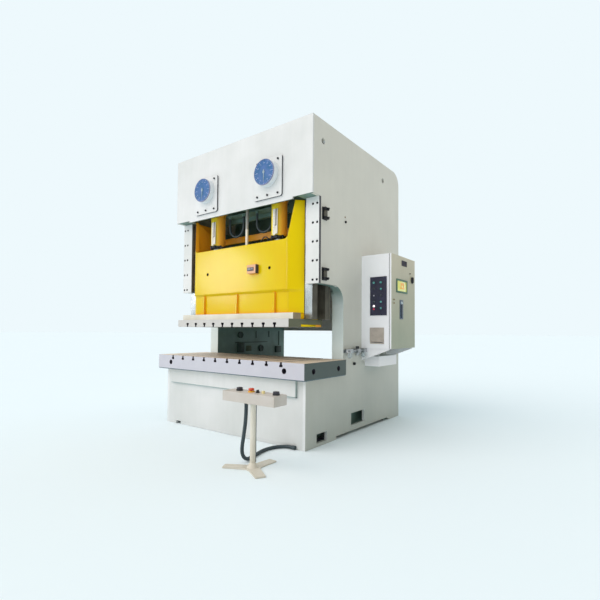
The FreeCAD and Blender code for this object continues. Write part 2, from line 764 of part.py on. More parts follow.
def gib_liners():
    """Bronze faces on the front, the side and the rear of the guide rails."""
    low, high = throat_height + column_plate, column_top
    side_face = rail_half + running_gap
    front_face = box(gib_plate_from + 10, rail_half - 10, column_front,
                     front_rail - running_gap, low, high)
    side_front = box(side_face, side_face + liner_thick, column_front + column_plate + 6,
                     front_rail + rail_depth - 6, low, high)
    side_rear = box(side_face, side_face + liner_thick, rear_rail + 6, rear_rail_end - 6,
                    low, high)
    rear_face = box(gib_plate_from + 10, rail_half - 10, rear_rail_end + running_gap,
                    rear_rail_end + running_gap + liner_thick, low, high)
    return both(group(front_face, side_front, side_rear, rear_face))


def gib_blocks():
    """Steel carriers of the liners: one set up by screws, one fixed and one behind the rail."""
    low, high = throat_height + column_plate, column_top
    inside = rail_half + running_gap + liner_thick
    adjusted = box(inside, inside + side_gib_thick - liner_thick, column_front + column_plate + 2,
                   front_rail + rail_depth, low, high)
    fixed = box(inside, inner, rear_rail, rear_rail_end - 2, low, high)
    behind = rear_rail_end + running_gap + liner_thick
    rear_block = box(gib_plate_from, inner, behind, behind + 50, low, high)
    return both(group(adjusted, fixed, rear_block))


node("gib_liners", gib_liners())
node("gib_blocks", gib_blocks())


def hexagon(radius, u, v):
    return [(u + radius * math.cos(math.radians(60 * i)), v + radius * math.sin(math.radians(60 * i)))
            for i in range(6)]


def gib_adjusters():
    """Screw brackets on the side plates, each with two set screws and lock nuts."""
    inside = rail_half + running_gap + side_gib_thick
    parts = []
    for low in (adjuster_low, adjuster_high):
        flanges = [box(outer + a, outer + b, gib_screw_y - reach, gib_screw_y + reach - 4, low,
                       low + adjuster_height) for a, b, reach in ((0, 9, 57), (8, 31, 38),
                                                                  (30, 38, 57))]
        heights = [low + adjuster_height * share for share in (0.2, 0.8)]
        screws = [rod("x", gib_screw_radius, inside, outer + 66, gib_screw_y, z) for z in heights]
        nuts = [prism("x", hexagon(22, gib_screw_y, z), outer + 38, outer + 54) for z in heights]
        parts.append(fuse(*flanges, *screws, *nuts))
    return both(group(*parts))


node("gib_adjusters", gib_adjusters())

# bearing covers and angle dials on the fascia
cover_half = size("cover_half_width", 235)
cover_low = size("cover_low", 3046)
cover_height = size("cover_height", 520)
cover_corner = size("cover_corner_radius", 30)
cover_thick = size("cover_thickness", 20)
dial_radius = size("dial_radius", 164)
dial_depth = size("dial_depth", 72)
dial_wall = size("dial_wall", 6)
pointer_shaft_radius = size("pointer_shaft_radius", 12)
front_web = size("front_web_from", 165)
cover_front = fascia_front - cover_thick
dial_face = cover_front - dial_depth
cover_bolt_reach = size("cover_bolt_reach", 173)
cover_bolt_inset = size("cover_bolt_inset", 44)
cover_top = cover_low + cover_height
web_face = front + front_web


def bearing_cover(x):
    plate = prism("y", [(x - cover_half, cover_low, cover_corner),
                        (x + cover_half, cover_low, cover_corner),
                        (x + cover_half, cover_top, cover_corner),
                        (x - cover_half, cover_top, cover_corner)],
                  cover_front, fascia_front)
    sleeve = rod("y", bearing_sleeve_radius - 1, cover_front, web_face - 4, x, crank_height)
    bore = rod("y", front_journal_radius + running_gap, cover_front - 1, web_face, x, crank_height)
    return cut(fuse(plate, sleeve), bore)


def dial(x):
    shell = cone("y", dial_radius, dial_radius + 10, dial_face, cover_front, x, crank_height)
    hollow = cone("y", dial_radius - dial_wall, dial_radius + 10 - dial_wall,
                  dial_face + dial_wall, cover_front + 1, x, crank_height)
    eye = rod("y", pointer_shaft_radius + 2, dial_face - 1, dial_face + dial_wall + 1, x,
              crank_height)
    return cut(shell, hollow, eye)


node("bearing_covers", group(bearing_cover(crank_x), bearing_cover(-crank_x)))
node("dial_housings", group(dial(crank_x), dial(-crank_x)))


def frame_bolts():
    """Socket screws of the gib plates and of the bearing covers, and two pipe plugs."""
    heads = [rod("y", gib_bolt_radius, gib_plate_front + 2, gib_plate_front + 14, x, z)
             for x in gib_bolt_xs for z in gib_bolt_heights]
    screws = both(group(*heads))
    covers = []
    for x in (crank_x, -crank_x):
        low, high = cover_low + cover_bolt_inset, cover_top - cover_bolt_inset
        for share, z in ((-1, low), (0, low), (1, low), (-1, high), (1, high)):
            covers.append(rod("y", cover_bolt_radius, cover_front - cover_bolt_radius,
                              cover_front, x + share * cover_bolt_reach, z))
    plugs = [rod("x", 16, outer, outer + 14, front + 862, 2805),
             rod("x", 20, outer, outer + 24, front + 1094, 928)]
    return group(screws, *covers, *plugs)


cover_bolt_radius = size("cover_bolt_radius", 13)
node("frame_bolts", frame_bolts())

# ---------------------------------------------------------------- gears
pressure_angle = size("pressure_angle", 20)
tip_share = size("addendum_share", 0.8)
root_share = size("dedendum_share", 1.1)
PER_RADIAN = 180 / math.pi


def involute(angle):
    return tan(angle) * PER_RADIAN - angle


def gear(teeth, thick, centre_x, centre_z, y0, turn):
    """A spur gear about Y: a disc, one tooth gap on involute flanks, and a polar pattern."""
    pitch_radius = module * teeth / 2
    base_radius = pitch_radius * cos(pressure_angle)
    tip, bottom = pitch_radius + module * tip_share, pitch_radius - module * root_share
    gap_at_pitch = 90 / teeth + backlash / (module * teeth * 2) * PER_RADIAN
    gap_at_base = gap_at_pitch - involute(pressure_angle)
    angles = [gap_at_base + involute(arccos(base_radius / radius)) for radius in (tip, pitch_radius)]
    radii = [tip, pitch_radius, bottom]
    angles.append(gap_at_base + involute(arccos(base_radius / bottom)))
    over = tip + module * 0.5
    side = [(over, angles[0])] + list(zip(radii, angles))
    points = [(radius * sin(angle), radius * cos(angle)) for radius, angle in side]
    mirror_side = [(-u, v) for u, v in reversed(points)]

    body = doc.addObject("PartDesign::Body", "Gear")
    blank = body.newObject("Sketcher::SketchObject", "Blank")
    circle = blank.addGeometry(Part.Circle(V(), V(0, 0, 1), tip.value), False)
    blank.addConstraint(Sketcher.Constraint("Coincident", circle, 3, -1, 1))
    blank.addConstraint(Sketcher.Constraint("Radius", circle, tip.value))
    blank.setExpression("Constraints[1]", tip.text)
    pad = body.newObject("PartDesign::Pad", "Disc")
    pad.Profile = blank
    bind(pad, Length=thick)
    gap = body.newObject("Sketcher::SketchObject", "ToothGap")
    draw_outline(gap, points + mirror_side)
    pocket = body.newObject("PartDesign::Pocket", "Gap")
    pocket.Profile = gap
    pocket.Type = "ThroughAll"
    pocket.Reversed = True
    ring = body.newObject("PartDesign::PolarPattern", "Teeth")
    ring.Originals = [pocket]
    ring.Axis = (gap, ["N_Axis"])
    ring.Angle = 360
    ring.setExpression("Occurrences", teeth.text)
    body.Tip = ring
    body.setExpression("Placement.Rotation.Angle", "90 deg")
    body.setExpression("Placement.Rotation.Axis.x", "1")
    body.setExpression("Placement.Rotation.Axis.z", "0")
    turned = doc.addObject("Part::Compound", "Phased")
    turned.Links = [body]
    turned.Placement = FreeCAD.Placement(V(), FreeCAD.Rotation(V(0, 1, 0), 0))
    turned.setExpression("Placement.Rotation.Axis.y", "1")
    turned.setExpression("Placement.Rotation.Axis.z", "0")
    turned.setExpression("Placement.Rotation.Angle", f"{turn.text} * 1 deg")
    place(turned, centre_x, dim(y0) + thick, centre_z)
    return turned


def tooth_gap_at(angle):
    """Turn about Y that brings a tooth gap to this direction, measured from +X towards +Z."""
    return 90 - angle


def tooth_at(angle, teeth):
    return tooth_gap_at(angle) + 180 / teeth


main_gear_thick = size("main_gear_width", 130)
pinion_thick = size("pinion_width", 140)
second_gear_thick = size("second_gear_width", 90)
main_gear_y = front + size("main_gear_at", 1395)
pinion_gear_y = main_gear_y - (pinion_thick - main_gear_thick) / 2
second_gear_y = rear_bulkhead + bulkhead_thick + 24
to_pinion = arctan2(pinion_z - crank_height, pinion_x - crank_x)
to_clutch = arctan2(clutch_z - pinion_z, -pinion_x)


def crankshaft(x):
    """Main shaft with two crank webs; the crankpin is a piece of its own between the webs."""
    stub = rod("y", pointer_shaft_radius, dial_face - 4, cover_front + 2, x, crank_height)
    journal = rod("y", front_journal_radius, cover_front, web_face + 5, x, crank_height)
    webs = []
    for y0, y1 in ((web_face, web_gap_front), (web_gap_rear, web_end)):
        webs += [rod("y", 118, y0, y1, x, crank_height),
                 rod("y", 98, y0, y1, x, pin_height),
                 box(x - 98, x + 98, y0, y1, pin_height, crank_height)]
    shaft = rod("y", crank_shaft_radius, web_end - 5, rear_bulkhead + bulkhead_thick + 10, x,
                crank_height)
    return fuse(stub, journal, *webs, shaft)


rod_half_width = size("rod_half_width", 105)
web_side_gap = size("web_side_clearance", 0.7)
rear_web_thick = size("rear_web_thickness", 80)
web_gap_front = press_centre - rod_half_width - web_side_gap
web_gap_rear = press_centre + rod_half_width + web_side_gap
web_end = web_gap_rear + rear_web_thick


def main_gear(x, turn):
    disc = gear(main_teeth, main_gear_thick, x, crank_height, main_gear_y, turn)
    hub_to_rim = [rod("y", 360, y0, y1, x, crank_height) for y0, y1 in (
        (main_gear_y - 1, main_gear_y + 40),
        (main_gear_y + main_gear_thick - 40, main_gear_y + main_gear_thick + 1))]
    hubs = rod("y", 150, main_gear_y, main_gear_y + main_gear_thick, x, crank_height)
    bore = rod("y", crank_shaft_radius + 0.05, main_gear_y - 1,
               main_gear_y + main_gear_thick + 1, x, crank_height)
    return cut(fuse(cut(disc, *hub_to_rim), hubs), bore)


node("crankshaft_right", crankshaft(crank_x))
node("crankshaft_left", crankshaft(-crank_x))

# each pinion meets its main gear on the line of centres, and the two pinions meet at x = 0:
# a gap of the right one and a tooth of the left one point at their main gears
node("main_gear_right", main_gear(crank_x, tooth_at(to_pinion, main_teeth)))
node("main_gear_left", main_gear(-crank_x, tooth_gap_at(180 - to_pinion)))


def pinion_shaft(x, turn, length_beyond):
    shaft = rod("y", pinion_shaft_radius, mid_bulkhead + 2,
                rear_bulkhead + bulkhead_thick + length_beyond, x, pinion_z)
    return fuse(shaft, gear(pinion_teeth, pinion_thick, x, pinion_z, pinion_gear_y, turn))


right_pinion = gear(pinion_teeth, pinion_thick, pinion_x, pinion_z, pinion_gear_y,
                    tooth_gap_at(to_pinion + 180))
left_pinion = gear(pinion_teeth, pinion_thick, -pinion_x, pinion_z, pinion_gear_y,
                   tooth_at(-to_pinion, pinion_teeth))
second_gear = gear(second_teeth, second_gear_thick, pinion_x, pinion_z, second_gear_y,
                   tooth_at(to_clutch, second_teeth))
shaft_start = mid_bulkhead - 20
bulkhead_back = rear_bulkhead + bulkhead_thick
second_hub = rod("y", 90, bulkhead_back + 4, second_gear_y, pinion_x, pinion_z)
node("pinion_shaft_right", fuse(
    right_pinion, second_gear, second_hub,
    rod("y", pinion_shaft_radius, shaft_start, second_gear_y + second_gear_thick + 20,
        pinion_x, pinion_z)))
node("pinion_shaft_left", fuse(
    left_pinion, rod("y", pinion_shaft_radius, shaft_start, bulkhead_back + 10,
                     -pinion_x, pinion_z)))

# flywheel side: the clutch shaft turns with the gears, the flywheel turns on its own
flywheel_radius = size("flywheel_radius", 430)
flywheel_at = size("flywheel_at", 2612)
flywheel_width = size("flywheel_width", 170)
flywheel_rim = size("flywheel_rim_thickness", 75)
flywheel_web = size("flywheel_web_thickness", 60)
flywheel_hub_radius = size("flywheel_hub_radius", 150)
clutch_radius = size("clutch_housing_radius", 210)
groove_count = 4
groove_pitch = size("belt_pitch", 34)
belt_width = size("belt_width", 22)
belt_thick = size("belt_thickness", 14)
pulley_radius = size("motor_pulley_radius", 135)
motor_drop = size("motor_drop", 850)
motor_shaft_radius = size("motor_shaft_radius", 28)
motor_radius = size("motor_radius", 165)
motor_length = size("motor_length", 430)
flywheel_y = front + flywheel_at
flywheel_end = flywheel_y + flywheel_width
motor_z = clutch_z - motor_drop
groove_ys = [flywheel_y + flywheel_width / 2 + groove_pitch * (i - (groove_count - 1) / 2)
             for i in range(groove_count)]


def revolved(points, x, z):
    """A turned piece about an axis along Y; points are (radius, y)."""
    solid = doc.addObject("Part::Revolution", "Turned")
    solid.Source = outline("z", points)
    solid.Axis, solid.Base, solid.Angle, solid.Solid = V(0, 1, 0), V(0, 0, 0), 360, True
    place(solid, x, 0, z)
    return solid


def grooved_rim(radius, y0, y1, inner_radius, x, z):
    """A rim whose belt grooves narrow towards their floor."""
    floor, wide, narrow = radius - belt_thick - 2, belt_width / 2 + 3, belt_width / 2 + 0.5
    points = [(inner_radius, y0), (radius, y0)]
    for y in groove_ys:
        points += [(radius, y - wide), (floor, y - narrow), (floor, y + narrow), (radius, y + wide)]
    return revolved(points + [(radius, y1), (inner_radius, y1)], x, z)


def flywheel():
    rim = grooved_rim(flywheel_radius, flywheel_y, flywheel_end, flywheel_radius - flywheel_rim,
                      0, clutch_z)
    middle = flywheel_y + flywheel_width / 2
    web = rod("y", flywheel_radius - flywheel_rim + 5, middle - flywheel_web / 2,
              middle + flywheel_web / 2, 0, clutch_z)
    hub = rod("y", flywheel_hub_radius, flywheel_y, flywheel_end - 30, 0, clutch_z)
    bore = rod("y", clutch_shaft_radius + running_gap, flywheel_y - 1, flywheel_end, 0, clutch_z)
    return cut(fuse(rim, web, hub), bore)


node("clutch_shaft", fuse(
    gear(clutch_teeth, second_gear_thick + 10, 0, clutch_z, second_gear_y - 5,
         tooth_gap_at(to_clutch + 180)),
    rod("y", clutch_shaft_radius, rear_bulkhead + 2, flywheel_end + 12, 0, clutch_z),
    rod("y", clutch_radius, flywheel_end + 2, flywheel_end + 72, 0, clutch_z)))
node("flywheel", flywheel())


def hull(big, small, y0, y1):
    """The space a belt encloses: round the flywheel above and the motor pulley below."""
    lean = (big - small) / motor_drop
    square = root(1 - lean * lean)
    sides = [(big * square, clutch_z - big * lean), (small * square, motor_z - small * lean)]
    return fuse(rod("y", big, y0, y1, 0, clutch_z), rod("y", small, y0, y1, 0, motor_z),
                prism("y", sides + [(-u, v) for u, v in reversed(sides)], y0, y1))


def belts():
    y0, y1 = groove_ys[0] - belt_width / 2, groove_ys[-1] + belt_width / 2
    lower = belt_thick + 0.5
    band = cut(hull(flywheel_radius + 0.5, pulley_radius + 0.5, y0, y1),
               hull(flywheel_radius - lower + 0.5, pulley_radius - lower + 0.5, y0 - 1, y1 + 1))
    wide = flywheel_radius + 2
    spaces = [box(-wide, wide, y + belt_width / 2, y + groove_pitch - belt_width / 2,
                  motor_z - pulley_radius - 2, clutch_z + wide) for y in groove_ys[:-1]]
    return cut(band, *spaces)


def motor():
    y0 = flywheel_end + 30
    y1 = y0 + motor_length
    frame = rod("y", motor_radius, y0, y1, 0, motor_z)
    fins = [box(-motor_radius - 12, motor_radius + 12, y0 + 60, y1 - 90, motor_z + dz - 4,
                motor_z + dz + 4) for dz in (-100, -50, 0, 50, 100)]
    foot = box(-motor_radius + 15, motor_radius - 15, y0 + 60, y1 - 90,
               motor_z - motor_radius - 20, motor_z - 120)
    shaft = rod("y", motor_shaft_radius, flywheel_y + 10, y0 + 5, 0, motor_z)
    seat = rod("y", motor_shaft_radius + running_gap, y0 - 1, y0 + 6, 0, motor_z)
    box_x = box(-motor_radius - 60, -motor_radius + 20, y0 + 120, y0 + 260, motor_z - 60,
                motor_z + 70)
    return cut(fuse(frame, *fins, foot, box_x), seat), shaft


motor_body, motor_shaft = motor()
pulley_rim = grooved_rim(pulley_radius, flywheel_y, flywheel_end, motor_shaft_radius - 5, 0, motor_z)
node("motor_pulley", fuse(pulley_rim, motor_shaft))
node("drive_belts", belts())


def motor_bracket():
    top = motor_z - motor_radius - 20
    y1 = flywheel_end + 30 + motor_length
    shelf = box(-220, 220, rear, y1, top - 25, top)
    cheeks = [prism("x", [(rear, top - 25), (rear, top - 480), (rear + 40, top - 480),
                          (y1, top - 60), (y1, top - 25)], x, dim(x) + 20) for x in (-200, 180)]
    plate = box(-220, 220, rear, rear + 20, top - 480, top - 25)
    return fuse(shelf, *cheeks, plate)


node("motor", group(motor_body, motor_bracket()))

# ---------------------------------------------------------------- connection
big_end_radius = size("big_end_radius", 150)
crankpin_radius = size("crankpin_radius", 82)
rod_radius = size("rod_radius", 105)
rod_low = size("rod_low", 2600)
screw_radius = size("ball_screw_radius", 65)
screw_top = size("ball_screw_top", 2900)
die_adjust = size("die_adjustment", 120)
clamp_radius = size("clamp_radius", 135)
clamp_thick = size("clamp_thickness", 40)
ball_radius = size("ball_radius", 88)
ball_height = size("ball_height", 2250)
neck_radius = size("ball_neck_radius", 55)
seat_half = size("seat_half_width", 140)
seat_top = size("seat_top", 2330)
scale_width = size("scale_width", 80)
scale_reach = size("scale_reach", 15)
scale_gap = size("scale_gap", 12)


def connecting_rod(x):
    big_end = rod("y", big_end_radius, press_centre - rod_half_width,
                  press_centre + rod_half_width, x, pin_height)
    shank = rod("z", rod_radius, rod_low, pin_height - 60, x, press_centre)
    shoulder = cone("z", rod_radius, rod_radius + 22, pin_height - 190, pin_height - 110, x,
                    press_centre)
    trim = [box(x - 200, x + 200, press_centre + a, press_centre + b, rod_low, pin_height + 200)
            for a, b in ((rod_half_width, rod_half_width + 60),
                         (-rod_half_width - 60, -rod_half_width))]
    pin_bore = rod("y", crankpin_radius + 0.05, press_centre - 300, press_centre + 300, x,
                   pin_height)
    thread = rod("z", screw_radius + fit_gap, rod_low - 1, screw_top + die_adjust + 20, x,
                 press_centre)
    return cut(fuse(big_end, shank, shoulder), *trim, pin_bore, thread)


clamp_angles = [22.5 + 45 * i for i in range(8)]


def clamp(x):
    ring = rod("z", clamp_radius, rod_low - clamp_thick, rod_low, x, press_centre)
    thread = rod("z", screw_radius + fit_gap, rod_low - clamp_thick - 1, rod_low + 1, x,
                 press_centre)
    heads = [rod("z", 9, rod_low, rod_low + 12, x + 120 * math.cos(math.radians(a)),
                 press_centre + 120 * math.sin(math.radians(a))) for a in clamp_angles]
    return fuse(cut(ring, thread), *heads)


def scale(x):
    """Die height scale ahead of the rod, seated on the clamp ring."""
    near, low = press_centre - rod_radius - scale_gap, rod_low + 16
    strip = box(x - scale_reach, x - scale_reach + scale_width, near, near + 8, low, screw_top + 40)
    foot = box(x - scale_reach + 5, x + 26, near, near + 8, rod_low, low + 4)
    slot = box(x - scale_reach + 36, x - scale_reach + 44, near - 1, near + 4, low + 50,
               screw_top + 15)
    return fuse(cut(strip, slot), foot)


def pin(x):
    half = rod_half_width + web_side_gap - fit_gap
    return rod("y", crankpin_radius, press_centre - half, press_centre + half, x, pin_height)


def ball_screw(x):
    return fuse(ball(ball_radius, x, press_centre, ball_height),
                rod("z", neck_radius, ball_height, seat_top + 25, x, press_centre),
                rod("z", screw_radius, seat_top + 20, screw_top, x, press_centre))


def ball_seat(x):
    block = box(x - seat_half, x + seat_half, press_centre - seat_half, press_centre + seat_half,
                plate_top + bar_height, seat_top)
    socket = ball(ball_radius + fit_gap, x, press_centre, ball_height)
    mouth = rod("z", neck_radius + 7, ball_height, seat_top + 1, x, press_centre)
    return cut(block, socket, mouth)


sides = (crank_x, -crank_x)
node("connecting_rods", group(*[piece(x) for x in sides for piece in (connecting_rod, pin)]))
node("rod_clamps", group(*[clamp(x) for x in sides]))
node("rod_scales", group(*[scale(x) for x in sides]))
node("adjust_screw_right", ball_screw(crank_x))
node("adjust_screw_left", ball_screw(-crank_x))
node("ball_seats", group(*[ball_seat(x) for x in sides]))

# counterbalance: cylinder on the front bulkhead, piston rod on the deck of the slide
balance_radius = size("balance_cylinder_radius", 90)
balance_low = size("balance_cylinder_low", 3060)
balance_length = size("balance_cylinder_length", 540)
balance_wall = size("balance_cylinder_wall", 18)
balance_rod_radius = size("balance_rod_radius", 20)
balance_top = balance_low + balance_length
piston_low = balance_low + 40

balance_bore = rod("z", balance_radius - balance_wall, balance_low + 20, balance_top - 20, 0,
                   press_centre)
balance_neck = rod("z", balance_rod_radius + running_gap, balance_low - 10, balance_low + 30, 0,
                   press_centre)
node("balance_cylinder", cut(fuse(
    rod("z", balance_radius, balance_low, balance_top, 0, press_centre),
    rod("z", balance_radius + 14, balance_low, balance_low + 25, 0, press_centre),
    rod("z", balance_radius + 14, balance_top - 25, balance_top, 0, press_centre),
    box(-70, 70, press_centre + balance_radius - 10, front_bulkhead, balance_low + 90,
        balance_low + 130),
    box(-70, 70, press_centre + balance_radius - 10, front_bulkhead, balance_top - 130,
        balance_top - 90)), balance_bore, balance_neck))
node("balance_rod", fuse(
    rod("z", balance_rod_radius, deck_top, piston_low + 20, 0, press_centre),
    rod("z", balance_radius - balance_wall - running_gap, piston_low, piston_low + 40, 0,
        press_centre),
    rod("z", 48, deck_top, deck_top + 22, 0, press_centre)))

# fittings on the slide: stroke counter on the front, eye bolts on the deck
counter_x = size("counter_x", 275)
counter_width = size("counter_width", 150)
counter_height = size("counter_height", 121)
counter_low = size("counter_low", 695)
counter_depth = size("counter_depth", 50)


def eye_bolt(x):
    ring = doc.addObject("Part::Torus", "Eye")
    bind(ring, Radius1=20, Radius2=6)
    ring.Placement = FreeCAD.Placement(V(), FreeCAD.Rotation(V(1, 0, 0), 90))
    place(ring, x, panel_front + 30, deck_top + 38)
    return fuse(ring, rod("z", 11, deck_top, deck_top + 16, x, panel_front + 30))


node("slide_fittings", group(
    box(counter_x - counter_width / 2, counter_x + counter_width / 2, panel_front - counter_depth,
        panel_front, slide_low + counter_low, slide_low + counter_low + counter_height),
    eye_bolt(dim(330)), eye_bolt(dim(-330))))

# ---------------------------------------------------------------- hoses
hose_lines = []


def tube(points, radius, label):
    """A hose along straight runs joined by tangent arcs, as large as the runs allow."""
    knots = [V(*p) for p in points]
    runs = [(b - a).Length for a, b in zip(knots, knots[1:])]
    edges, last, radii, length = [], knots[0], [], 0
    for i in range(1, len(knots) - 1):
        back = (knots[i - 1] - knots[i]).normalize()
        ahead = (knots[i + 1] - knots[i]).normalize()
        half = (math.pi - back.getAngle(ahead)) / 2
        reach = 0.45 * min(runs[i - 1], runs[i])
        bend = reach / math.tan(half)
        middle = knots[i] + (back + ahead).normalize() * (bend / math.cos(half) - bend)
        start, end = knots[i] + back * reach, knots[i] + ahead * reach
        edges += [Part.LineSegment(last, start).toShape(), Part.Arc(start, middle, end).toShape()]
        length += (start - last).Length + 2 * half * bend
        radii.append(bend)
        last = end
    edges.append(Part.LineSegment(last, knots[-1]).toShape())
    length += (knots[-1] - last).Length
    wire = Part.Wire(edges)
    ring = Part.Wire([Part.Circle(knots[0], knots[1] - knots[0], radius).toShape()])
    solid = wire.makePipeShell([ring], True, False)
    hose_lines.append(f"{label}: length {length:.0f} mm, radii {[round(r) for r in radii]}, "
                      f"volume ratio {solid.Volume / (math.pi * radius ** 2 * length):.4f}")
    feature = doc.addObject("Part::Feature", "Hose")
    feature.Shape = solid
    return feature


def oil_loop(side):
    x0, x1 = side * oil_hose_inner_x.value, side * oil_hose_outer_x.value
    top, low = oil_bracket_low.value - oil_socket.value, oil_hose_low.value
    bend = abs(x1 - x0) / 2
    y, middle = hose_y.value, (x0 + x1) / 2
    radius = oil_hose_radius.value
    edges = [Part.LineSegment(V(x0, y, top), V(x0, y, low + bend)).toShape(),
             Part.Arc(V(x0, y, low + bend), V(middle, y, low), V(x1, y, low + bend)).toShape(),
             Part.LineSegment(V(x1, y, low + bend), V(x1, y, top)).toShape()]
    ring = Part.Wire([Part.Circle(V(x0, y, top), V(0, 0, 1), radius).toShape()])
    feature = doc.addObject("Part::Feature", "Loop")
    feature.Shape = Part.Wire(edges).makePipeShell([ring], True, False)
    return feature


node("oil_hoses", group(oil_loop(1), oil_loop(-1)))

# ---------------------------------------------------------------- control cabinet
cabinet_from = size("cabinet_from", 1310)
cabinet_length = size("cabinet_length", 820)
cabinet_low = size("cabinet_low", 1130)
cabinet_high = size("cabinet_high", 2420)
cabinet_depth = size("cabinet_depth", 420)
sheet_thick = size("sheet_thickness", 3)
door_thick = size("door_thickness", 28)
door_gap = size("door_gap", 0.5)
hinge_reach = size("hinge_reach", 9)
hinge_radius = size("hinge_radius", 8)
hinge_length = size("hinge_length", 40)
cab_front = front + cabinet_from
cab_back = cab_front + cabinet_length
cab_side = outer + cabinet_depth
door_in = cab_side + door_gap
door_out = door_in + door_thick
hinge_x = cab_side + 15
hinge_y = cab_back + hinge_reach
hinge_heights = [cabinet_low + 150, cabinet_high - 150]
lamp_xs = [outer + size("lamp_column_1", 198), outer + size("lamp_column_2", 302)]
lamp_rows = [size(f"lamp_row_{i + 1}", z) for i, z in enumerate((2030, 1942, 1853, 1766, 1680))]
button_radius = size("button_radius", 15)
button_travel = size("button_travel", 4)
panel_y = cab_front - size("panel_thickness", 10)
panel_x0 = outer + size("panel_from", 137)
panel_width = size("panel_width", 246)
panel_low = size("panel_low", 1583)
panel_high = size("panel_high", 2110)
grille_low = size("grille_low", 1195)
grille_high = size("grille_high", 1416)
grille_x = outer + size("grille_from", 134)
grille_width = size("grille_width", 209)


def cabinet_body():
    shell = box(outer, cab_side, cab_front, cab_back, cabinet_low, cabinet_high)
    inside = box(outer + sheet_thick, cab_side + 1, cab_front + sheet_thick,
                 cab_back - sheet_thick, cabinet_low + sheet_thick, cabinet_high - sheet_thick)
    lip = cut(box(cab_side - 20, cab_side, cab_front + 1, cab_back - 1, cabinet_low + 1,
                  cabinet_high - 1),
              box(cab_side - 21, cab_side + 1, cab_front + 30, cab_back - 30, cabinet_low + 30,
                  cabinet_high - 30))
    inner_plate = box(outer + 40, outer + 44, cab_front + 60, cab_back - 60, cabinet_low + 60,
                      cabinet_high - 60)
    posts = [rod("x", 8, outer + 2, outer + 41, cab_front + y, z) for y in (90, 730)
             for z in (cabinet_low + 100, cabinet_high - 100)]
    vent = box(grille_x + 14, grille_x + grille_width - 14, cab_front - 1,
               cab_front + sheet_thick + 1, grille_low + 14, grille_high - 14)
    panel_hole = box(panel_x0 + 20, panel_x0 + panel_width - 20, cab_front - 1,
                     cab_front + sheet_thick + 1, panel_low + 20, panel_high - 20)
    leaves = []
    for z in hinge_heights:
        leaves += [box(hinge_x - 50, hinge_x, cab_back, cab_back + 4, z, z + hinge_length),
                   cut(rod("z", hinge_radius, z, z + hinge_length, hinge_x, hinge_y),
                       rod("z", 3.2, z - 1, z + hinge_length + 1, hinge_x, hinge_y))]
    return fuse(cut(fuse(cut(shell, inside), lip), vent, panel_hole), inner_plate, *posts, *leaves)


def cabinet_door():
    tray = cut(box(door_in, door_out, cab_front, cab_back, cabinet_low, cabinet_high),
               box(door_in - 1, door_out - sheet_thick, cab_front + sheet_thick,
                   cab_back - sheet_thick, cabinet_low + sheet_thick, cabinet_high - sheet_thick))
    switch_bore = rod("x", switch_shaft_radius + running_gap, door_in, door_out + 1, switch_y,
                      switch_z)
    hinges = []
    for z in hinge_heights:
        for z0 in (z - hinge_length - 0.5, z + hinge_length + 0.5):
            hinges += [rod("z", hinge_radius, z0, z0 + hinge_length, hinge_x, hinge_y),
                       box(hinge_x - 5, hinge_x + 5, cab_back - 2, hinge_y, z0, z0 + hinge_length)]
        hinges.append(rod("z", 3, z - 10, z + hinge_length + 10, hinge_x, hinge_y))
    return fuse(cut(tray, switch_bore), *hinges)


switch_y = front + size("switch_at", 2009)
switch_z = size("switch_height", 2118)
switch_shaft_radius = size("switch_shaft_radius", 5)
switch_radius = size("switch_radius", 30)
node("cabinet_body", cabinet_body())
node("cabinet_door", cabinet_door())


def frame_on_door(y0, y1, z0, z1, deep, rim):
    """A raised frame on the door round a recessed face."""
    outside = box(door_out, door_out + deep, front + y0, front + y1, z0, z1)
    recess = box(door_out + deep / 2, door_out + deep + 1, front + y0 + rim, front + y1 - rim,
                 z0 + rim, z1 - rim)
    return cut(outside, recess)


def door_fittings():
    screen = frame_on_door(1468, 1836, 1900, 2091, 12, 14)
    vent = frame_on_door(1651, 1831, 2286, 2361, 8, 8)
    slats = [box(door_out + 4, door_out + 8, front + 1659, front + 1823, z, z + 6)
             for z in range(2298, 2350, 12)]
    plate = box(door_out, door_out + 3, front + 1572, front + 1704, 1539, 1798)
    locks = [rod("x", 11, door_out, door_out + 10, front + 1389, z) for z in (1746, 1827)]
    locks.append(rod("x", 13, door_out, door_out + 12, front + 1652, 1750 + 76))
    ring = cut(rod("x", switch_radius + 6, door_out, door_out + 5, switch_y, switch_z),
               rod("x", switch_shaft_radius + running_gap, door_out - 1, door_out + 6, switch_y,
                   switch_z))
    return group(screen, fuse(vent, *slats), plate, *locks, ring)


node("door_fittings", door_fittings())
knob_from = door_out + 5 + fit_gap
node("main_switch", fuse(
    rod("x", switch_radius - 3, knob_from, knob_from + 12, switch_y, switch_z),
    box(knob_from + 10, knob_from + 26, switch_y - 8, switch_y + 8, switch_z - 26, switch_z + 26),
    rod("x", switch_shaft_radius, door_out - 3, knob_from + 2, switch_y, switch_z)))


def panel_plate():
    plate = box(panel_x0, panel_x0 + panel_width, panel_y, cab_front, panel_low, panel_high)
    bores = [rod("y", button_radius - 5, panel_y - 1, cab_front + 1, x, lamp_rows[0])
             for x in lamp_xs]
    return cut(plate, *bores)


def grille():
    plate = box(grille_x, grille_x + grille_width, cab_front - 8, cab_front, grille_low, grille_high)
    slots = [box(grille_x + 16, grille_x + grille_width - 16, cab_front - 9, cab_front + 1,
                 grille_low + 18 + 24 * i, grille_low + 30 + 24 * i) for i in range(8)]
    return cut(plate, *slots)


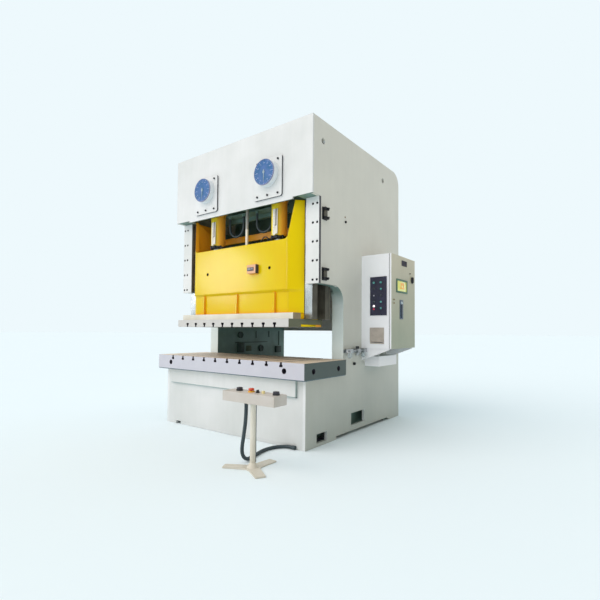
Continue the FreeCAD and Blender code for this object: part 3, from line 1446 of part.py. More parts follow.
node("cabinet_panels", group(panel_plate(), grille()))
lamps = [rod("y", button_radius, panel_y - 14, panel_y, x, z) for x in lamp_xs
         for z in lamp_rows[1:]]
rings = [cut(rod("y", button_radius + 5, panel_y - 6, panel_y, x, lamp_rows[0]),
             rod("y", button_radius + 0.3, panel_y - 7, panel_y + 1, x, lamp_rows[0]))
         for x in lamp_xs]
node("indicator_lamps", group(*lamps, *rings))
for name, x in zip(("start", "stop"), lamp_xs):
    cap_back = panel_y - button_travel - 1
    node(f"panel_button_{name}", fuse(
        rod("y", button_radius, cap_back - 12, cap_back, x, lamp_rows[0]),
        rod("y", button_radius - 5 - running_gap, cap_back - 2, cab_front + 6, x, lamp_rows[0])))


def cabinet_brackets():
    low = size("bracket_low", 960)
    gussets = [prism("y", [(outer, low), (outer, cabinet_low), (cab_side - 5, cabinet_low),
                           (cab_side - 5, cabinet_low - 14)], y, y + 10)
               for y in (cab_front + 8, cab_back - 30)]
    duct = box(outer, outer + 222, front + 1410, front + 1980, 880, 1020)
    neck = box(outer, outer + 120, front + 1500, front + 1640, 1020, cabinet_low)
    return group(*gussets, fuse(duct, neck))


node("cabinet_brackets", cabinet_brackets())

# ---------------------------------------------------------------- air preparation
air_from = size("air_unit_from", 815)
air_length = size("air_unit_length", 490)
air_x = outer + size("air_unit_reach", 60)
air_z = size("air_unit_height", 1105)
bowl_radius = size("air_bowl_radius", 29)
air_body_half = size("air_body_half_width", 34)
unit_ys = [front + air_from + at for at in (75, 270, 440)]
knob_radius = size("regulator_knob_radius", 24)


def air_unit():
    rail = box(outer, outer + 6, front + air_from, front + air_from + air_length, air_z - 22,
               air_z + 22)
    pipe = rod("y", 13, front + air_from + 10, front + air_from + air_length - 10, air_x, air_z)
    heads = [box(air_x - air_body_half, air_x + air_body_half, y - air_body_half,
                 y + air_body_half, air_z - 26, air_z + 26) for y in unit_ys]
    arms = [box(outer + 5, air_x - air_body_half + 2, y - 14, y + 14, air_z - 12, air_z + 12)
            for y in unit_ys]
    column = rod("z", 27, air_z - 62, air_z - 20, air_x, unit_ys[1])
    spindle_bore = rod("z", 6 + running_gap, air_z + 5, air_z + 27, air_x, unit_ys[1])
    return cut(fuse(rail, pipe, *heads, *arms, column), spindle_bore)


node("air_unit", air_unit())
node("air_bowls", group(*[fuse(
    rod("z", bowl_radius, air_z - 74, air_z - 26, air_x, y),
    cone("z", bowl_radius - 14, bowl_radius, air_z - 94, air_z - 74, air_x, y))
    for y in (unit_ys[0], unit_ys[2])]))
node("regulator_knob", fuse(
    rod("z", knob_radius, air_z + 26 + fit_gap, air_z + 60, air_x, unit_ys[1]),
    rod("z", 6, air_z + 8, air_z + 30, air_x, unit_ys[1])))

# ---------------------------------------------------------------- two-hand control
post_x = size("post_x", 1208)
post_y = front - size("post_ahead", 776)
post_radius = size("post_radius", 28)
foot_reach = size("pedestal_foot_reach", 300)
foot_half = size("pedestal_foot_half_width", 52)
foot_inner = size("pedestal_foot_inner", 70)
foot_thick = size("pedestal_foot_thickness", 12)
console_low = size("console_low", 648)
console_height = size("console_height", 100)
console_length = size("console_length", 696)
console_depth = size("console_depth", 190)
console_wall = size("console_wall", 3)
foot_turn = size("pedestal_foot_turn", 88)
console_y = post_y + 5
console_top = console_low + console_height
console_x0 = post_x - console_length / 2
control_x = {name: post_x + size(f"{name}_x", value) for name, value in (
    ("palm_button_left", -197), ("estop_button", -32), ("selector_switch", 54),
    ("console_lamp", 129), ("palm_button_right", 294))}


def pedestal_stand():
    points = []
    for i in range(3):
        arm, next_bay = foot_turn + 120 * i, foot_turn + 120 * i + 60
        tip_u, tip_v = post_x + foot_reach * cos(arm), post_y + foot_reach * sin(arm)
        points += [(tip_u + foot_half * sin(arm), tip_v - foot_half * cos(arm), 12),
                   (tip_u - foot_half * sin(arm), tip_v + foot_half * cos(arm), 12),
                   (post_x + foot_inner * cos(next_bay), post_y + foot_inner * sin(next_bay), 110)]
    return fuse(prism("z", points, 0, foot_thick),
                cone("z", post_radius + 34, post_radius, foot_thick - 1, foot_thick + 45, post_x,
                     post_y),
                rod("z", post_radius, foot_thick, console_low - 8, post_x, post_y),
                rod("z", 70, console_low - 8, console_low, post_x, post_y))


def console():
    outside = box(console_x0, console_x0 + console_length, console_y - console_depth / 2,
                  console_y + console_depth / 2, console_low, console_top)
    inside = box(console_x0 + console_wall, console_x0 + console_length - console_wall,
                 console_y - console_depth / 2 + console_wall,
                 console_y + console_depth / 2 - console_wall, console_low + console_wall,
                 console_top - console_wall)
    bores = [rod("z", 9 + running_gap, console_top - console_wall - 1, console_top + 1,
                 control_x[name], console_y) for name in control_x if name != "console_lamp"]
    gland = rod("z", hose_radius + 6, console_low - 12, console_low, hose_x, hose_start_y)
    return fuse(cut(outside, inside, *bores), gland)


palm_radius = size("palm_button_radius", 26)
palm_travel = size("palm_travel", 5)
estop_travel = size("estop_travel", 6)
hose_x = size("hose_start_x", 1098)
hose_start_y = front - size("hose_start_ahead", 762)
node("pedestal_stand", pedestal_stand())
node("control_box", console())


def collar(x, radius, high):
    ring = rod("z", radius, console_top, console_top + high, x, console_y)
    return cut(ring, rod("z", 9 + running_gap, console_top - 1, console_top + high + 1, x,
                         console_y))


node("control_collars", group(
    collar(control_x["palm_button_left"], 24, 6), collar(control_x["palm_button_right"], 24, 6),
    collar(control_x["estop_button"], 34, 12), collar(control_x["selector_switch"], 20, 6),
    rod("z", 17, console_top, console_top + 26, control_x["console_lamp"], console_y)))


def button(name, radius, collar_high, travel, high):
    x, low = control_x[name], console_top + collar_high + travel + 0.5
    return fuse(rod("z", radius, low, low + high, x, console_y),
                rod("z", 9, console_top - console_wall - 8, low + 2, x, console_y))


for name in ("palm_button_left", "palm_button_right"):
    node(name, button(name, palm_radius, 6, palm_travel, 14))
node("estop_button", button("estop_button", 24, 12, estop_travel, 16))
selector_x = control_x["selector_switch"]
node("selector_switch", fuse(
    button("selector_switch", 17, 6, dim(0), 10),
    box(selector_x - 5, selector_x + 5, console_y - 16, console_y + 16, console_top + 14,
        console_top + 26)))

# the hose drops from the console, turns on the floor and runs to its gland on the base
route = [(hose_x.value, hose_start_y.value, console_low.value - 12),
         (hose_x.value, hose_start_y.value, 490), (1070, -2042, 310), (1042, -2045, 146),
         (1030, -2008, 66), (1016, -1935, 20.5), (992, -1840, 19.6), (955, -1710, 19.7),
         (922, -1580, 19.6), (925, -1469, 19.7), (950, -1384, 19.7), (1000, -1327, 20.5),
         (1060, (front - hose_gland_reach).value, hose_gland_height.value),
         (hose_gland_x.value, (front - hose_gland_reach).value, hose_gland_height.value)]
node("pedestal_hose", tube(route, hose_radius.value, "pedestal hose"))

# ---------------------------------------------------------------- build and export
doc.recompute()
failed = [o.Label for o in doc.Objects if "Invalid" in o.State or "Error" in o.State]
if failed:
    raise ValueError(f"not computed: {failed}")
for solid in nodes:
    if solid.Shape.isNull() or not solid.Shape.isValid() or not solid.Shape.Solids:
        raise ValueError(f"bad shape: {solid.Label}")
for solid in nodes:
    solid.Shape.exportStep(f"parts/{solid.Label}.step")
for line in hose_lines:
    print(line)
print(len(nodes), "pieces written")
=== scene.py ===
import math

import bmesh
import bpy
from mathutils import Matrix, Vector


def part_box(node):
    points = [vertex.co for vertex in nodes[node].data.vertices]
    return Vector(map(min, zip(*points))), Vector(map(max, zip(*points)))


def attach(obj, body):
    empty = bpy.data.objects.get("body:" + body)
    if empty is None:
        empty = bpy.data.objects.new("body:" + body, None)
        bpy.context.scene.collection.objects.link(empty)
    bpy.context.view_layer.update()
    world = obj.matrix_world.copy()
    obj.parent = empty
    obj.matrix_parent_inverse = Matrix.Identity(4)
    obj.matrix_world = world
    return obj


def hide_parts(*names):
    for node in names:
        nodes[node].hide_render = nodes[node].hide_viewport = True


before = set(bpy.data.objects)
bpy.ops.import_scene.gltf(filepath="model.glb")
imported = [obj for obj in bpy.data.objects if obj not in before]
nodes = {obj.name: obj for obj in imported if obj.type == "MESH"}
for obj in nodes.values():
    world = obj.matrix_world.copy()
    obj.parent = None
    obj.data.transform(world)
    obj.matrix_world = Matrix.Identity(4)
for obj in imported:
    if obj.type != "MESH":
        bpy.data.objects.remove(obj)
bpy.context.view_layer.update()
print("frame loaded:", len(nodes), "nodes")

# the camera stands ahead of the right front corner, a little below half height
cameraValues = {
    "place": (4.084, -5.098, 1.367), "turn": 36.53, "tilt": 1.9, "roll": 0.43,
    "lens": 24.85, "sensor": 36, "shift": (-0.0068, 0.0283), "far": 200,
}


def addCamera(v):
    turn, tilt, roll = (math.radians(v[key]) for key in ("turn", "tilt", "roll"))
    ahead = Vector((-math.sin(turn) * math.cos(tilt), math.cos(turn) * math.cos(tilt),
                    math.sin(tilt)))
    level = Vector((math.cos(turn), math.sin(turn), 0))
    upright = level.cross(ahead)
    across = level * math.cos(roll) + upright * math.sin(roll)
    upward = upright * math.cos(roll) - level * math.sin(roll)
    lens = bpy.data.cameras.new("camera")
    lens.lens, lens.sensor_width = v["lens"], v["sensor"]
    lens.shift_x, lens.shift_y = v["shift"]
    lens.clip_end = v["far"]
    camera = bpy.data.objects.new("camera", lens)
    axes = Matrix((across, upward, -ahead)).transposed().to_4x4()
    camera.matrix_world = Matrix.Translation(v["place"]) @ axes
    bpy.context.collection.objects.link(camera)
    bpy.context.scene.camera = camera


addCamera(cameraValues)


# colours and finishes
def hexColour(code):
    parts = [int(code[i:i + 2], 16) / 255 for i in (0, 2, 4)]
    return (*[c / 12.92 if c <= 0.04045 else ((c + 0.055) / 1.055) ** 2.4 for c in parts], 1.0)


def perMetre(millimetres):
    return 1000 / millimetres  # pattern scale for details of this size


# a socket among the settings is linked, and any other value is set
def addNode(tree, kind, settings=None):
    node = tree.nodes.new("ShaderNode" + kind)
    for key, value in (settings or {}).items():
        if isinstance(value, bpy.types.NodeSocket):
            tree.links.new(value, node.inputs[key])
        elif isinstance(key, str) and hasattr(node, key):
            setattr(node, key, value)
        else:
            node.inputs[key].default_value = value
    return node


# a material with its plain settings, and the places on the piece that its patterns read
def newFinish(name, settings):
    material = bpy.data.materials.new(name)
    material.use_nodes = True
    tree = material.node_tree
    for key, value in settings.items():
        tree.nodes["Principled BSDF"].inputs[key].default_value = value
    return material, tree, addNode(tree, "TexCoord").outputs["Object"]


# every finish ends alike: its colour, a gloss between two values, and fine relief
def closeFinish(tree, colour, gloss, glossBy, relief, depth, reliefBy, edge=None):
    rough = addNode(tree, "MapRange", {
        "To Min": gloss[0], "To Max": gloss[1], "Value": glossBy}).outputs[0]
    bump = addNode(tree, "Bump", {"Strength": relief, "Distance": depth, "Height": reliefBy})
    if edge:
        tree.links.new(edge, bump.inputs["Normal"])
    shader = tree.nodes["Principled BSDF"]
    tree.links.new(colour, shader.inputs["Base Color"])
    tree.links.new(rough, shader.inputs["Roughness"])
    tree.links.new(bump.outputs[0], shader.inputs["Normal"])


# sprayed machine enamel: soft clouds of shade, thin runs of dust, orange peel, worn edges;
# tones are the base and its shade, and the sizes of patterns are in millimetres
commonEnamel = {
    "variation": 0.8, "runSize": 60, "runStretch": 0.06, "runShare": 0.15,
    # a tint that grows below one height: dust near the floor here; in some finishes below it is
    # painted shade, and on the balance rod a second paint
    "heightTint": 0.35, "heightTintTop": 0.7, "heightTintFoot": 0.0, "heightTintColour": "B4BAB6",
    "wornColour": "8F9490", "wear": 0.5, "chipSize": 18, "edge": 0.004,
    "shine": 0.4, "coat": 0.08, "coatGloss": 0.12,
    # real orange peel is about 1.5 mm; 5 mm is what still shows at this distance
    "peelSize": 5, "peelRelief": 0.08,
}


def enamel(name, own):
    v = {**commonEnamel, **own}
    material, tree, place = newFinish(name, {
        "IOR": 1.5, "Specular IOR Level": v["shine"], "Coat Weight": v["coat"],
        "Coat Roughness": v["coatGloss"]})
    facing = addNode(tree, "NewGeometry").outputs["Normal"]
    cloud = addNode(tree, "TexNoise", {
        "Scale": perMetre(v["cloud"]), "Detail": 4.0, "Vector": place}).outputs["Fac"]
    runs = addNode(tree, "Mapping", {"Scale": (1.0, 1.0, v["runStretch"]), "Vector": place})
    run = addNode(tree, "TexNoise", {
        "Scale": perMetre(v["runSize"]), "Detail": 5.0,
        "Vector": runs.outputs[0]}).outputs["Fac"]
    both = addNode(tree, "Mix", {0: v["runShare"], 2: cloud, 3: run}).outputs[0]
    shaded = addNode(tree, "MapRange", {
        "From Min": 0.35, "From Max": 0.65, "To Max": v["variation"], "Value": both})
    # a tint by height, which is dust in some finishes and painted shade in others
    height = addNode(tree, "SeparateXYZ", {0: place}).outputs["Z"]
    low = addNode(tree, "MapRange", {
        "From Min": v["heightTintTop"], "From Max": v["heightTintFoot"], "To Max": v["heightTint"],
        "Value": height}).outputs[0]
    patchy = addNode(tree, "MapRange", {"To Min": 0.65, "Value": cloud}).outputs[0]
    heightTinted = addNode(tree, "Math", {"operation": "MULTIPLY", 0: low, 1: patchy})
    layers = [(shaded, v["tones"][1]), (heightTinted, v["heightTintColour"])]
    if "hollow" in v:  # painted shade: warmer orange in corners and hollows, by ambient occlusion
        shelter = addNode(tree, "AmbientOcclusion", {"samples": 6, "Distance": 0.09})
        layers.append((addNode(tree, "MapRange", {
            "From Min": 0.8, "From Max": 0.35, "Value": shelter.outputs["AO"]}), v["hollow"]))
    if "paintedSideShading" in v:  # painted light and shade: another tone on the faces that look to the right
        across = addNode(tree, "SeparateXYZ", {0: facing}).outputs["X"]
        layers.append((addNode(tree, "MapRange", {
            "From Min": 0.4, "From Max": 0.9, "Value": across}), v["paintedSideShading"]))
    rounded = addNode(tree, "Bevel", {"samples": 4, "Radius": v["edge"]}).outputs[0]
    bend = addNode(tree, "VectorMath", {
        "operation": "DOT_PRODUCT", 0: rounded, 1: facing}).outputs["Value"]
    worn = addNode(tree, "MapRange", {
        "From Min": 0.985, "From Max": 0.86, "Value": bend}).outputs[0]
    chip = addNode(tree, "TexNoise", {
        "Scale": perMetre(v["chipSize"]), "Detail": 6.0, "Vector": place}).outputs["Fac"]
    chips = addNode(tree, "MapRange", {
        "From Min": 0.5, "From Max": 0.62, "To Max": v["wear"], "Value": chip}).outputs[0]
    bare = addNode(tree, "Math", {"operation": "MULTIPLY", 0: worn, 1: chips})
    colour = hexColour(v["tones"][0])
    for share, code in (*layers, (bare, v["wornColour"])):  # each lies over the ones before
        colour = addNode(tree, "Mix", {
            "data_type": "RGBA", 0: share.outputs[0], 6: colour,
            7: hexColour(code)}).outputs[2]
    peel = addNode(tree, "TexNoise", {
        "Scale": perMetre(v["peelSize"]), "Detail": 1.0, "Vector": place}).outputs["Fac"]
    closeFinish(tree, colour, v["gloss"], run, v["peelRelief"], 0.001, peel, rounded)
    return material


# machined steel: fine parallel marks along one axis, a light film of oil, bright edges
commonSteel = {"metal": 1.0, "stretch": (1, 1, 1), "edge": 0.002, "relief": 0.1}


def groundSteel(name, own):
    v = {**commonSteel, **own}
    material, tree, place = newFinish(name, {"Metallic": v["metal"]})
    stretched = addNode(tree, "Mapping", {"Scale": v["stretch"], "Vector": place}).outputs[0]
    marks = addNode(tree, "TexNoise", {
        "Scale": perMetre(v["marks"]), "Detail": 4.0, "Vector": stretched}).outputs["Fac"]
    film = addNode(tree, "TexNoise", {
        "Scale": perMetre(v["film"]), "Detail": 3.0, "Vector": place}).outputs["Fac"]
    both = addNode(tree, "Math", {"operation": "MULTIPLY", 0: marks, 1: film}).outputs[0]
    share = addNode(tree, "MapRange", {"From Min": 0.15, "From Max": 0.38, "Value": both})
    base, shade = map(hexColour, v["tones"])
    colour = addNode(tree, "Mix", {
        "data_type": "RGBA", 0: share.outputs[0], 6: base, 7: shade}).outputs[2]
    rounded = addNode(tree, "Bevel", {"samples": 4, "Radius": v["edge"]}).outputs[0]
    closeFinish(tree, colour, v["gloss"], marks, v["relief"], 0.0006, marks, rounded)
    return material


# moulded plastic or rubber: even colour with a fine pebbled skin
commonPlastic = {
    "ior": 1.49, "shine": 0.5, "coat": 0.0, "clear": 0.0, "glow": "000000", "glowing": 0.0,
    "grain": 2, "blotch": 60, "relief": 0.15, "gloss": (0.3, 0.4),
}


def moulded(name, own):
    v = {**commonPlastic, **own}
    material, tree, place = newFinish(name, {
        "IOR": v["ior"], "Specular IOR Level": v["shine"], "Coat Weight": v["coat"],
        "Transmission Weight": v["clear"], "Emission Color": hexColour(v["glow"]),
        "Emission Strength": v["glowing"]})
    skin, blotch = [
        addNode(tree, "TexNoise", {
            "Scale": perMetre(v[key]), "Detail": 3.0, "Vector": place}).outputs["Fac"]
        for key in ("grain", "blotch")]
    share = addNode(tree, "MapRange", {"From Min": 0.35, "From Max": 0.7, "Value": blotch})
    base, shade = map(hexColour, v["tones"])
    colour = addNode(tree, "Mix", {
        "data_type": "RGBA", 0: share.outputs[0], 6: base, 7: shade}).outputs[2]
    closeFinish(tree, colour, v["gloss"], skin, v["relief"], 0.0004, skin)
    return material


enamels = {
    # pale grey machine enamel over welded plate, gone dusty near the floor
    "paleEnamel": {"tones": ("E2E3E3", "CFD2D0"), "cloud": 700, "gloss": (0.32, 0.5)},
    # the same enamel on the flanks as a greyer copy in painted shade, with painted green-grey shade
    # growing towards the floor
    "shadedFlankEnamel": {"tones": ("DEDCD2", "D3D1C8"), "cloud": 800, "heightTintColour": "7C918E",
        "gloss": (0.34, 0.52), "heightTintTop": 2.6, "heightTint": 0.62},
    # a lighter copy of the pale enamel as painted light on the side plates' front edges and window
    # reveals, without the flanks' painted shade
    "litEdgeEnamel": {"tones": ("E9EBEC", "DDE0E0"), "cloud": 500, "gloss": (0.32, 0.5), "heightTint": 0.2},
    # throat edges, pale below, with painted green shade where the curve turns down
    "throatEnamel": {"tones": ("E4EEEC", "D8E4E2"), "cloud": 400, "heightTintColour": "4C7267",
        "gloss": (0.34, 0.5), "heightTintTop": 1.70, "heightTintFoot": 1.89, "heightTint": 0.95},
    # dark green inside the frame, flat and oily, lightened to stand in for light that does not
    # reach inside; on the pale plates' undersides it is painted shade
    "greenEnamelAndShade": {"tones": ("70908A", "5C7870"), "variation": 1.0, "cloud": 300,
        "heightTintColour": "4A5A4E", "wornColour": "5E6A62", "gloss": (0.42, 0.62)},
    # glossy chrome yellow on the slide, with painted orange shade in its hollows and painted
    # lighter yellow on faces turned to the right
    "yellowEnamel": {"tones": ("E2C600", "E1BA00"), "variation": 0.7, "cloud": 450,
        "heightTintColour": "C79A10", "wornColour": "B07A12", "edge": 0.014, "gloss": (0.13, 0.19),
        "coat": 0.0, "shine": 0.2, "hollow": "EE9A08", "paintedSideShading": "FFDF00"},
    # yellow on the connecting rods, lightened as painted light where the fascia shades them, with
    # painted orange shade on the side turned to the right
    "rodEnamel": {"tones": ("FFE83C", "FFE030"), "variation": 0.7, "cloud": 300,
        "heightTintColour": "C79A10", "wornColour": "B07A12", "edge": 0.006, "gloss": (0.24, 0.38),
        "coat": 0.0, "shine": 0.3, "paintedSideShading": "FFB43C"},
    # the slide's yellow as painted orange shade, on faces that turn away from the light
    "paintedOrangeShade": {"tones": ("FFB42A", "FFAA28"), "cloud": 200, "heightTintColour": "C0801A",
        "wornColour": "B07A12", "edge": 0.006, "gloss": (0.3, 0.45), "coat": 0.0},
    # balance rod: painted cream low down, bright where it runs in the cylinder
    "creamRod": {"tones": ("B9B6B0", "A8A5A0"), "variation": 0.5, "cloud": 200,
        "heightTintColour": "FFF6E8", "wornColour": "A8A5A0", "edge": 0.002, "heightTint": 1.3,
        "heightTintTop": 2.79, "heightTintFoot": 2.765, "gloss": (0.2, 0.35), "coat": 0.0},
    # ivory enamel on the slide's front bar and on the scales
    "ivoryEnamel": {"tones": ("EAE7DC", "D8D3C2"), "cloud": 260, "heightTintColour": "B8B2A0",
        "wornColour": "9A9483", "edge": 0.003, "gloss": (0.35, 0.5)},
    # white powder coat on the cabinet, smooth and even
    "cabinetCoat": {"tones": ("FAFAFD", "F3F3F7"), "variation": 0.6, "cloud": 500,
        "heightTintColour": "C9C9C6", "wornColour": "A5A5A2", "edge": 0.002, "gloss": (0.36, 0.48)},
    # warm beige powder coat on the cabinet door, greener and darker towards its foot
    "doorCoat": {"tones": ("D2CAB4", "C7BFA8"), "variation": 0.6, "cloud": 500,
        "heightTintColour": "7F937F", "wornColour": "9C947C", "edge": 0.002, "gloss": (0.36, 0.48),
        "heightTintTop": 2.5, "heightTintFoot": 1.3, "heightTint": 0.75},
    # the cabinet's underside in painted grey-green shade
    "undersideShade": {"tones": ("6F827A", "5E7068"), "cloud": 200, "heightTintColour": "5A6A62",
        "wornColour": "7E8A84", "edge": 0.002, "gloss": (0.45, 0.6)},
    # cream hammered enamel on the two-hand control's stand
    "standEnamel": {"tones": ("DEDACD", "CFC9B9"), "cloud": 200, "heightTintColour": "A9A598",
        "wornColour": "8C877A", "edge": 0.002, "gloss": (0.38, 0.55), "heightTintTop": 0.15},
    # the same on its box, greyer and free of dust
    "consoleEnamel": {"tones": ("C9C3BD", "BDB6AC"), "cloud": 200, "heightTintColour": "A9A598",
        "wornColour": "8C877A", "edge": 0.003, "gloss": (0.38, 0.55), "heightTint": 0.0},
    # grey-blue casting enamel on the motor and its bracket
    "motorEnamel": {"tones": ("5E6F7C", "4C5B66"), "variation": 0.9, "cloud": 160,
        "heightTintColour": "6E7468", "wornColour": "8E959A", "edge": 0.003, "gloss": (0.4, 0.6)},
}
steels = {
    # ground slide ways, marks run up and down
    "groundWay": {"tones": ("C9CDCE", "8E9596"), "stretch": (1, 1, 0.02), "marks": 4, "film": 250,
        "gloss": (0.18, 0.36)},
    # turned shafts and screws, marks run round
    "turnedSteel": {"tones": ("B9BDBE", "7E8587"), "stretch": (1, 1, 6), "marks": 5, "film": 120,
        "gloss": (0.2, 0.4)},
    # the flanks of the slide ways, browned by old oil and darkened as painted shade
    "oilAndShadeFlank": {"tones": ("6A675C", "4A483F"), "stretch": (1, 1, 0.03), "marks": 5, "film": 140,
        "gloss": (0.4, 0.6), "metal": 0.3},
    # hobbed gears under a dark film of oil
    "oiledSteel": {"tones": ("80837F", "494B46"), "stretch": (1, 0.1, 1), "marks": 5, "film": 90,
        "gloss": (0.24, 0.46)},
    # cast iron with turned rims
    "castIron": {"tones": ("6F7578", "454A4D"), "marks": 4, "film": 70, "gloss": (0.35, 0.6),
        "relief": 0.3},
    # bearing bronze on the gibs
    "gibBronze": {"tones": ("C79A55", "8E6A34"), "stretch": (1, 1, 0.03), "marks": 4, "film": 90,
        "gloss": (0.22, 0.42)},
    # blackened screws, dull with bright corners
    "blackOxide": {"tones": ("3A3C40", "1E2023"), "marks": 3, "film": 40, "gloss": (0.34, 0.55),
        "metal": 0.85, "edge": 0.001},
    # die-cast aluminium of the air unit
    "castAluminium": {"tones": ("C4C8CA", "8F9598"), "marks": 3, "film": 50, "gloss": (0.25, 0.45)},
}
plastics = {
    # dark fill as painted shade in slots, holes and gaps, with the dark window, vent and scale
    # marks; painted shadow lines along edges and seams; all dull and soft
    "darkFillAndSlotShade": {"tones": ("423E4C", "2D2A36"), "grain": 4, "gloss": (0.4, 0.6)},
    "paintedEdgeShadow": {"tones": ("56565C", "46464C"), "grain": 4, "gloss": (0.5, 0.7)},
    "paintedStripShadow": {"tones": ("A0B2B0", "94A6A4"), "grain": 4, "gloss": (0.5, 0.7)},
    "paintedBolsterShadow": {"tones": ("5E7480", "4E646E"), "grain": 4, "gloss": (0.5, 0.7)},
    # oily paint darkened as painted deep shade: in the bed, on the throat wall and on the bar's end
    "pitShade": {"tones": ("3C4152", "2E3342"), "grain": 4, "gloss": (0.6, 0.8)},
    "greenShade": {"tones": ("2F4A44", "243A36"), "grain": 4, "gloss": (0.5, 0.7)},
    "oliveTag": {"tones": ("4E5E40", "445238"), "grain": 4, "gloss": (0.5, 0.7)},
    "oiledTanShade": {"tones": ("9A8A6C", "8A7B60"), "grain": 4, "gloss": (0.4, 0.6)},
    # oil-proof hose rubber, dull with a dusty bloom, and the rubber of the belts
    "hoseRubber": {"tones": ("2C3B42", "3B4A50"), "grain": 3, "blotch": 120, "gloss": (0.45, 0.68),
        "relief": 0.3},
    "beltRubber": {"tones": ("1D1F20", "2B2D2C"), "grain": 3, "gloss": (0.55, 0.8)},
    # printed metal dial under lacquer, its ink, painted rim, pointer and housing
    "dialBlue": {"tones": ("2F6696", "5072AE"), "grain": 3, "blotch": 90, "coat": 0.06,
        "shine": 0.2},
    "dialInk": {"tones": ("A9B8DC", "9DADD4")},
    "dialRim": {"tones": ("8C90B0", "7E82A2"), "gloss": (0.25, 0.4)},
    "pointerGrey": {"tones": ("9FB3BC", "8FA5AE"), "gloss": (0.25, 0.4)},
    "dialWhite": {"tones": ("E9EEF2", "DCE4EA")},
    # moulded ABS of the panel, its grille, the counter and the switches, half glossy
    "panelNavy": {"tones": ("2C2D45", "232438"), "gloss": (0.25, 0.4)},
    "grilleTan": {"tones": ("C2B8AE", "B4AAA0"), "gloss": (0.45, 0.6)},
    "counterPeach": {"tones": ("E9B48A", "DFA67A"), "gloss": (0.3, 0.45)},
    "blackPlastic": {"tones": ("1C1E22", "26292E"), "gloss": (0.28, 0.45)},
    "palmSlate": {"tones": ("2E2C38", "3A3844"), "gloss": (0.2, 0.35)},
    "buttonRed": {"tones": ("E0502E", "CE4426"), "gloss": (0.18, 0.3), "coat": 0.3},
    "collarYellow": {"tones": ("F2B81C", "E8A80F"), "gloss": (0.25, 0.4)},
    # polycarbonate lamp lenses, glassy, some of them lit
    "lampTeal": {"tones": ("1F8F86", "2BA79B"), "gloss": (0.08, 0.16), "glow": "1D9C8C",
        "glowing": 0.25, "coat": 0.6},
    "lampDark": {"tones": ("27333A", "2E3C44"), "gloss": (0.08, 0.16), "coat": 0.6},
    "lampWhite": {"tones": ("F4F0F0", "FFFFFF"), "gloss": (0.1, 0.2), "glow": "FFEFEF",
        "glowing": 1.2},
    "lampRed": {"tones": ("8C2848", "A0304E"), "gloss": (0.1, 0.2), "glow": "C01A40",
        "glowing": 0.6},
    "lampGrey": {"tones": ("B4B4C4", "A6A6B8"), "gloss": (0.2, 0.3)},
    "dullTeal": {"tones": ("5FAAA4", "549C98"), "gloss": (0.1, 0.2)},
    "lampCream": {"tones": ("EFE2A8", "E6D58E"), "gloss": (0.12, 0.24), "coat": 0.4},
    # lit display behind a clear pane, and its moulded frame
    "screenGreen": {"tones": ("CFCF78", "C2C46A"), "blotch": 40, "gloss": (0.08, 0.15),
        "glow": "D8DC70", "glowing": 0.35, "coat": 0.5},
    "screenOrange": {"tones": ("E2A24A", "D8963E"), "gloss": (0.1, 0.2), "glow": "E8A83C",
        "glowing": 0.3},
    "screenFrame": {"tones": ("4A7460", "3E6652"), "gloss": (0.3, 0.45)},
    # lacquered metal of the door's locks and handle, smooth under the lacquer; the main lock's pale
    # is a painted reflection of its chrome
    "paintedChromeGlint": {"tones": ("DDE9EE", "D0DEE4"), "gloss": (0.12, 0.22)},
    "lockBrass": {"tones": ("9A8460", "8C7858"), "gloss": (0.25, 0.4)},
    "handleBlue": {"tones": ("54667C", "4C5D72"), "gloss": (0.22, 0.35)},
    "handleLever": {"tones": ("2E3A48", "364454"), "gloss": (0.2, 0.32)},
    # clear polycarbonate bowls with a grey cast
    "bowlClear": {"tones": ("DCE6E8", "C8D4D8"), "grain": 3, "gloss": (0.05, 0.12), "ior": 1.58,
        "clear": 0.55},
}
finishes = {name: make(name, values)
            for make, table in ((enamel, enamels), (groundSteel, steels), (moulded, plastics))
            for name, values in table.items()}


# T-slotted plates: painted front, dark ends, milled top or underside, each in two tones
plateValues = {
    # feed marks of the milling cutter, real ones 2 mm apart, drawn 9 mm apart to show
    "cloud": 160, "feed": 9, "feedStretch": 0.03, "gloss": (0.34, 0.56), "edge": 0.003,
    "bolsterPlate": {"milled": ("EBD7BE", "C8B59B"), "front": ("CACAD3", "C1C1CB"),
                     "end": ("4C5B58", "404E4B"), "frontY": -1.3945, "endX": 1.3492},
    "slidePlate": {"milled": ("A8A79C", "8A897E"), "front": ("CFCDC9", "C4C2BE"),
                   "end": ("6C7058", "5D614C"), "frontY": -1.2945, "endX": 1.0392},
}


